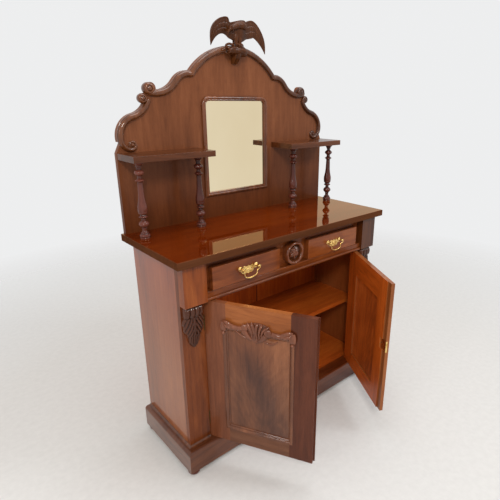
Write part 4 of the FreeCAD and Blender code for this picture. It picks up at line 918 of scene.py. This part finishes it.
def make_roundel():
    """Thick ring round a hollow, with a boss of turning petals."""
    form = Form()
    _, (_, y_back), (z0, z1) = node_box("frieze_roundel")
    z = (z0 + z1) / 2
    form.lathe(RING, (0, y_back, z), axis="y", sides=64)
    form.lathe(BOSS, (0, y_back, z), axis="y", sides=40)
    for i in range(PETALS):
        rows = []
        for share, radius, wide, lift in PETAL:
            angle = 2 * pi * i / PETALS + 0.9 * share + 0.4
            rows.append((radius * cos(angle), y_back - lift, z + radius * sin(angle), wide, 4))
        form.blade(rows, 18, keel=0.45, sides=16)
    form.ball((0, y_back - 26.5, z), (5, 4, 5), 20)
    build(form, "carved_roundel", "rosette", ["frieze_roundel"], sharp=60)


# ---- mouldings
# profiles of (inset, y) points, y from the face that carries them
MIRROR_PROFILE = [
    (0.2, -0.2), (0, -4), (1, -7.5), (3, -10), (6, -11.8), (9, -11.9), (11.5, -10.6), (12.6, -8.8),
    (13.4, -8.6), (14.2, -9.4), (16, -9.8), (18, -8.6), (19.8, -5.4), (19.9, -0.2)]
MIRROR_CORNER = 36
DOOR_PROFILE = [
    (0, 0), (0, -1.6), (1.2, -3.2), (4, -4), (7, -3.8), (9, -2.6), (10, -1.4), (11.2, -1.2),
    (12.4, -0.6), (14, 1.8), (16.2, 3.6), (18.8, 5), (18.8, 6.4), (14.1, 6.4), (14.1, 0)]
DOOR_LAP = 14  # how far the moulding lies over the frame


def make_mouldings():
    form = Form()
    box_x, _, box_z = node_box("mirror_frame")
    form.frame((*box_x, *box_z), [(inset, PANEL_Y + y) for inset, y in MIRROR_PROFILE],
               radius=MIRROR_CORNER)
    build(form, "mirror_moulding", "moulding", ["mirror_frame"])
    for side in SIDES:
        form = Form()
        form.frame((OPENING_X[0] - DOOR_LAP, OPENING_X[1] + DOOR_LAP,
                    OPENING_Z[0] - DOOR_LAP, OPENING_Z[1] + DOOR_LAP),
                   [(inset, DOOR_FACE + y) for inset, y in DOOR_PROFILE])
        build(form if side == "left" else form.mirrored(), "panel_moulding_" + side,
              "moulding", ["door_moulding_" + side], body="door_" + side,
              place=DOORS[side])


# ---- door carvings
CREST_X = sum(OPENING_X) / 2
CREST_Y = DOOR_FACE - 4.2
CREST_REACH = 11.4  # how far back the carving may go from CREST_Y
# ribs of the shell: (x, z) of the tip, two points on the way and the foot, and the half width
SHELL_RIBS = (
    ((-38, 47), (-26, 32), (-18, 15), (-21, -5), 6.2),
    ((-21, 51), (-13, 34), (-8, 13), (-10, -11), 6), ((2, 52), (-2, 32), (-2, 10), (1, -14), 5.6),
    ((19, 49), (13, 33), (9, 13), (12, -5), 5.2), ((46, 46), (28, 33), (19, 13), (18, -7), 4.4))
SHELL_HALF = ((0, 8), (0.25, 30), (0.6, 50), (0.85, 48), (1, 32))


def make_door_crests():
    """Shell of curved ribs between two bulbs, with a stem on each side that ends in a turned
    ear and a hanging bud. Rows are x, z and out from the middle of the opening's top, then
    sizes."""
    form = Form()

    def lay(x, z, out):
        return (CREST_X + x, CREST_Y - out, OPENING_Z[1] + z)

    def leaf(*rows, hand=1, count=24, sides=18):
        form.blade([(*lay(hand * x, z, out), *sizes) for x, z, out, *sizes in rows], count,
                   sides=sides)

    def stem(*rows, count=24, sides=12, flat=0.9):
        form.tube([(*lay(x, z, out), radius) for x, z, out, radius in rows], count, sides=sides,
                  flat=flat)

    for top, high, low, foot, w in SHELL_RIBS:
        near = np.array(top) * 0.6 + np.array(high) * 0.4
        leaf((*top, -0.5, w * 0.6, 3), (*near, 3.6, w, 5), (*high, 5.6, w, 5.6),
             (*low, 4.8, w * 0.8, 5), (*foot, 1, w * 0.42, 3), count=28)
    ground = []
    for v in np.linspace(0, 1, 12):
        half = np.interp(v, *zip(*SHELL_HALF))
        ground.append([lay(-5 + 8 * v + u * half, -25 + 73 * v + 5 * (1 - u * u) * v,
                           2.6 * cos(u * 1.5) * sin(pi * min(v + 0.12, 0.96))
                           - 0.4) for u in np.linspace(-1, 1, 15)])
    form.relief(ground, CREST_Y + 3.6)
    # left bulb, the leaf below it and the lip round the hollow
    form.ball(lay(-47, 29, 3.2), (14.5, 8, 13.5), 26)
    leaf((-56, 22, 1, 10, 5.4), (-46, 10, 3.4, 11, 6.2), (-36, -3, 2.8, 8, 5.2),
         (-22, -16, 0.8, 4, 3))
    stem((-84, 9, 0.6, 2), (-69, -1, 2, 3), (-54, -9, 2.2, 3), (-38, -14, 0.4, 1.8), count=20)
    # right bulb beside its dark gap, the leaf and the lip below it
    form.ball(lay(42, 22, 4.2), (15.5, 8.4, 15.5), 26)
    leaf((33, 12, 3.4, 9, 6), (24, -2, 3, 8.4, 5.4), (10, -15, 1.4, 5.4, 3.6), (-2, -24, 0.4, 2, 2))
    stem((24, -12, 1, 2.2), (42, -19, 2.2, 3), (62, -17, 2.4, 3), (78, -5, 0.8, 2), count=22)
    # stems
    stem((-56, 24, 1.6, 9), (-74, 21, 3.2, 9.4), (-90, 22, 3.6, 9.2), (-106, 25, 3.2, 8.6),
         sides=20, flat=0.78)
    stem((58, 20, 2.4, 9.6), (74, 19, 3.6, 9.8), (90, 19, 3.8, 9.6), (106, 23, 3.2, 9),
         sides=20, flat=0.78)
    # ears: two rolls over a square drop that ends in a bud
    for hand in (-1, 1):
        leaf((94, 26, 2.4, 5.6, 4.8), (107, 32, 5.6, 7, 6), (120, 38, 5.2, 6.4, 5.4),
             (134, 38, 1.4, 4, 3), hand=hand)
        leaf((92, 15, 2, 4.6, 4.4), (108, 19, 5.4, 6.6, 5.6), (121, 24, 5.4, 6.8, 5.4),
             (134, 26, 1.6, 4, 3), hand=hand)
        leaf((131, 36, 1.6, 11, 4.6), (133, 22, 3.4, 13, 5.6), (133, 8, 3.2, 12.6, 5.4),
             (133, 0, 1.2, 10, 3.6), hand=hand, sides=20)
        form.ball(lay(hand * 133, -8, 3), (6.6, 6.2, 7), 22)

    low_y = CREST_Y - CREST_REACH
    form = form.moved(lambda p: np.array([p[0], max(p[1], low_y), p[2]]))
    # the right door's crest is the same carving, not its mirror image
    for side, shift in (("left", 0), ("right", -2 * CREST_X)):
        build(form.moved(lambda p: p + np.array([shift, 0, 0])), "shell_crest_" + side,
              "shell", ["door_crest_" + side], body="door_" + side, place=DOORS[side],
              sharp=60)


# ---- drop handles
DRAWER_X = {"left": -244.5, "right": 244.5}
DRAWER_Y = 33  # face of the drawer fronts
POST_X = 38  # posts, to each side of the handle's middle
POST_Z = 812
PLATE_Z = POST_Z - 9
BAIL_Y = 16
BAIL_X = 46  # ends of the bail
BAIL_DROP = 0.84
PLATE_HALF = [
    (0, 16), (5, 13.4), (10, 12.6), (15, 15.6), (19, 16.2), (22, 13.2), (26, 10.2), (31, 10.4),
    (36, 13.4), (41, 13.8), (45.4, 10.8), (45.6, 6), (43, 1), (38, -1.4), (32, -0.4), (27, -1.4),
    (24, -6), (21, -11), (16, -13.4), (10, -12.4), (5, -13.8), (0, -16.6)]
PLATE_HOLES = ((15, 1, 3.1, 3.4, 18), (33, 4.6, 2.2, 1.8, 14))  # x, z, radii, sides
POST = [
    (9.2, 0), (9.4, -1.4), (8.2, -2.6), (6.6, -2.9), (5.6, -3.8), (4, -5.2), (3.3, -8), (3.3, -11),
    (4.4, -12.4), (5.4, -14), (5.6, -17), (5, -19.8), (3.4, -21.8), (1.6, -22.5), (0, -22.6)]
BAIL_ARCS = ((10, 75), (12, -80), (13, 65), (46.6, 60), (13, 65), (12, -80), (10, 75))
BAIL_RADIUS = ((0, 3), (14, 2.7), (24, 2.3), (30, 2.1), (46, 2.1))
PIVOT = [(1.85, 32.6), (1.85, 44.6), (2.6, 45), (2.9, 46.4), (2.2, 48), (0, 48.3)]


def pierced_sheet():
    """The plate's outline and holes as a thin bevelled mesh in X and Y."""
    outline = PLATE_HALF + [(-a, b) for a, b in PLATE_HALF[-2:0:-1]]
    loops = [spline(outline + outline[:1], 132)[:-1]]
    loops += [[(s * x + wide * c, z + tall * d) for c, d in circle(sides)]
              for x, z, wide, tall, sides in PLATE_HOLES for s in (-1, 1)]
    curve = bpy.data.curves.new("plate", "CURVE")
    curve.dimensions = "2D"
    curve.fill_mode = "BOTH"
    curve.extrude = 0.35
    curve.bevel_depth = 0.5
    curve.bevel_resolution = 2
    for loop in loops:
        line = curve.splines.new("POLY")
        line.points.add(len(loop) - 1)
        for point, (a, b) in zip(line.points, loop):
            point.co = (a, b, 0, 1)
        line.use_cyclic_u = True
    helper = new_object("plate", curve)
    bpy.context.view_layer.update()
    graph = bpy.context.evaluated_depsgraph_get()
    mesh = bpy.data.meshes.new_from_object(helper.evaluated_get(graph))
    points = [tuple(v.co) for v in mesh.vertices]
    faces = [tuple(p.vertices) for p in mesh.polygons]
    bpy.data.objects.remove(helper)
    bpy.data.curves.remove(curve)
    bpy.data.meshes.remove(mesh)
    return points, faces


def make_handles():
    for side, x in DRAWER_X.items():
        plate = Form()
        points, faces = pierced_sheet()
        plate.add([(x + a, DRAWER_Y - 0.95 - c, PLATE_Z + b) for a, b, c in points], faces)
        for s in (-1, 1):
            plate.lathe(POST, (x + s * POST_X, DRAWER_Y, POST_Z), axis="y", sides=26)
            for i, lift in enumerate((10.5, 9, 12, 7.5)):
                plate.ball((x + s * (6 + i * 7), DRAWER_Y - 1.9, PLATE_Z + lift),
                           (1.7, 1.2, 1.7), 10)
            plate.blade([(x + s * 3, DRAWER_Y - 2, POST_Z - 12, 2.4, 1.1),
                         (x + s * 12, DRAWER_Y - 2.2, POST_Z - 16, 2.8, 1.3),
                         (x + s * 19, DRAWER_Y - 2, POST_Z - 12, 1.2, 0.8)], 10)
        plate.ball((x, DRAWER_Y - 1.9, PLATE_Z), (4.4, 1.8, 4.8), 16)
        build(plate, "pierced_plate_" + side, "brass", ["handle_plate_" + side],
              body="drawer_" + side)

        bail = Form()
        run = [(x - BAIL_X, POST_Z + 1.5), (x - BAIL_X, POST_Z - 1.5)]
        run += arc_run((x - BAIL_X, POST_Z - 4, -90), BAIL_ARCS, 9)
        run += [(x + BAIL_X, POST_Z - 1.5), (x + BAIL_X, POST_Z + 1.5)]
        run = np.array([(a, BAIL_Y, POST_Z + (b - POST_Z) * BAIL_DROP) for a, b in run])
        thick = np.interp(np.abs(run[:, 0] - x), *zip(*BAIL_RADIUS))
        bail.sweep(run, thick[:, None, None] * circle(12)[None])
        bail.ball((x, BAIL_Y, POST_Z - 38), (3.6, 3.3, 3.3), 16)
        for s in (-1, 1):
            bail.ball((x + s * 4.4, BAIL_Y, POST_Z - 37.8), (1.5, 3.4, 3.2), 12)
            bail.lathe([(radius, s * reach) for radius, reach in PIVOT], (x, BAIL_Y, POST_Z),
                       axis="x", sides=14)
            bail.ball((x + s * BAIL_X, BAIL_Y, POST_Z), (2.6, 2.6, 2.6), 12)
        build(bail, "swan_neck_bail_" + side, "brass", ["handle_bail_" + side],
              body="bail_" + side)


make_spindles()
make_crest("right")
make_crest("left")
make_eagle()
make_perch()
make_corbels()
make_roundel()
make_mouldings()
make_door_crests()
make_handles()


# ---- stage, lights and camera
FLOOR_RADIUS = 4
FLOOR_MIDDLE = 0.6
FLOOR_SIDES = 96
LAMPS = (  # name, place, aim, size, watts, colour
    ("key", (-2.2, -2.6, 3.2), (0, 0, 0.8), (0.85, 0.7), 70, (1, 0.95, 0.88)),
    ("fill", (2.4, -2.6, 3.7), (0, 0, 0.7), (1.1, 1.1), 42, (0.94, 0.97, 1)),
    ("window", (-3.2, -0.8, 2.2), (-0.35, -0.2, 0.3), (0.3, 0.7), 9, (1, 0.94, 0.92)),
    ("top", (0.2, -0.2, 3.6), (0, 0.1, 0.9), (1.6, 1.6), 30, (1, 1, 1)))
# solved from the long edges in the photograph: it stands to the left of the front, a little
# above the small shelves
CAMERA_ROWS = ((0.742936, 0.216178, -0.633493, -1.18304),
               (-0.669341, 0.247527, -0.700509, -1.23942),
               (0.005372, 0.944456, 0.328593, 1.40923),
               (0, 0, 0, 1))


def make_floor():
    """Pale disc that fades out into the background."""
    mesh = bpy.data.meshes.new("floor")
    rim = [(a + FLOOR_MIDDLE, b + FLOOR_MIDDLE, 0) for a, b in circle(FLOOR_SIDES, FLOOR_RADIUS)]
    mesh.from_pydata([(FLOOR_MIDDLE, FLOOR_MIDDLE, 0)] + rim, [],
                     [(0, i + 1, (i + 1) % FLOOR_SIDES + 1) for i in range(FLOOR_SIDES)])
    floor = new_object("floor", mesh)
    n = material_nodes("pale_floor")
    away = n.add("VectorMath", {0: n.place()}, operation="LENGTH").outputs["Value"]
    fade = n.ramp(n.maths("DIVIDE", away, FLOOR_RADIUS), (0.35, 0), (0.85, 1))
    colour = n.ramp(n.noise(n.place(), (40, 40, 40), 2), (0.3, 0.7), (0.7, 0.74))
    solid = n.add("BsdfPrincipled", {"Base Color": colour, "Roughness": 0.7})
    clear = n.add("BsdfTransparent")
    mix = n.add("MixShader", {0: fade, 1: solid.outputs[0], 2: clear.outputs[0]})
    mesh.materials.append(n.finish(mix))


def make_world():
    """Pale background for the camera and for reflections, a plain soft light for the rest."""
    n = Nodes(bpy.data.worlds.new("studio"))
    seen = n.add("Background", {"Color": (0.85, 0.855, 0.86), "Strength": 1})
    lit = n.add("Background", {"Color": (1, 0.96, 0.9), "Strength": 0.62})
    rays = n.add("LightPath").outputs
    mirrors = n.maths("MAXIMUM", rays["Is Glossy Ray"], rays["Is Transmission Ray"])
    either = n.maths("MAXIMUM", rays["Is Camera Ray"], mirrors)
    mix = n.add("MixShader", {0: either, 1: lit.outputs[0], 2: seen.outputs[0]})
    bpy.context.scene.world = n.finish(mix, "OutputWorld")


def area_light(name, spot, aim, size, power, colour):
    light = bpy.data.lights.new(name, "AREA")
    light.shape = "RECTANGLE"
    light.size, light.size_y = size
    light.energy = power
    light.color = colour
    lamp = new_object(name, light)
    lamp.location = spot
    lamp.rotation_euler = (Vector(aim) - Vector(spot)).to_track_quat("-Z", "Y").to_euler()


def make_camera():
    lens = bpy.data.cameras.new("camera")
    lens.sensor_width = 36
    lens.lens = 31.05
    lens.shift_x = -0.059
    lens.shift_y = 0.0016
    lens.clip_start = 0.05
    lens.clip_end = 60
    camera = new_object("camera", lens)
    camera.matrix_world = Matrix(CAMERA_ROWS)
    bpy.context.scene.camera = camera


bpy.context.scene.view_settings.view_transform = "Standard"
make_floor()
make_world()
for lamp_row in LAMPS:
    area_light(*lamp_row)
make_camera()

bpy.context.view_layer.update()
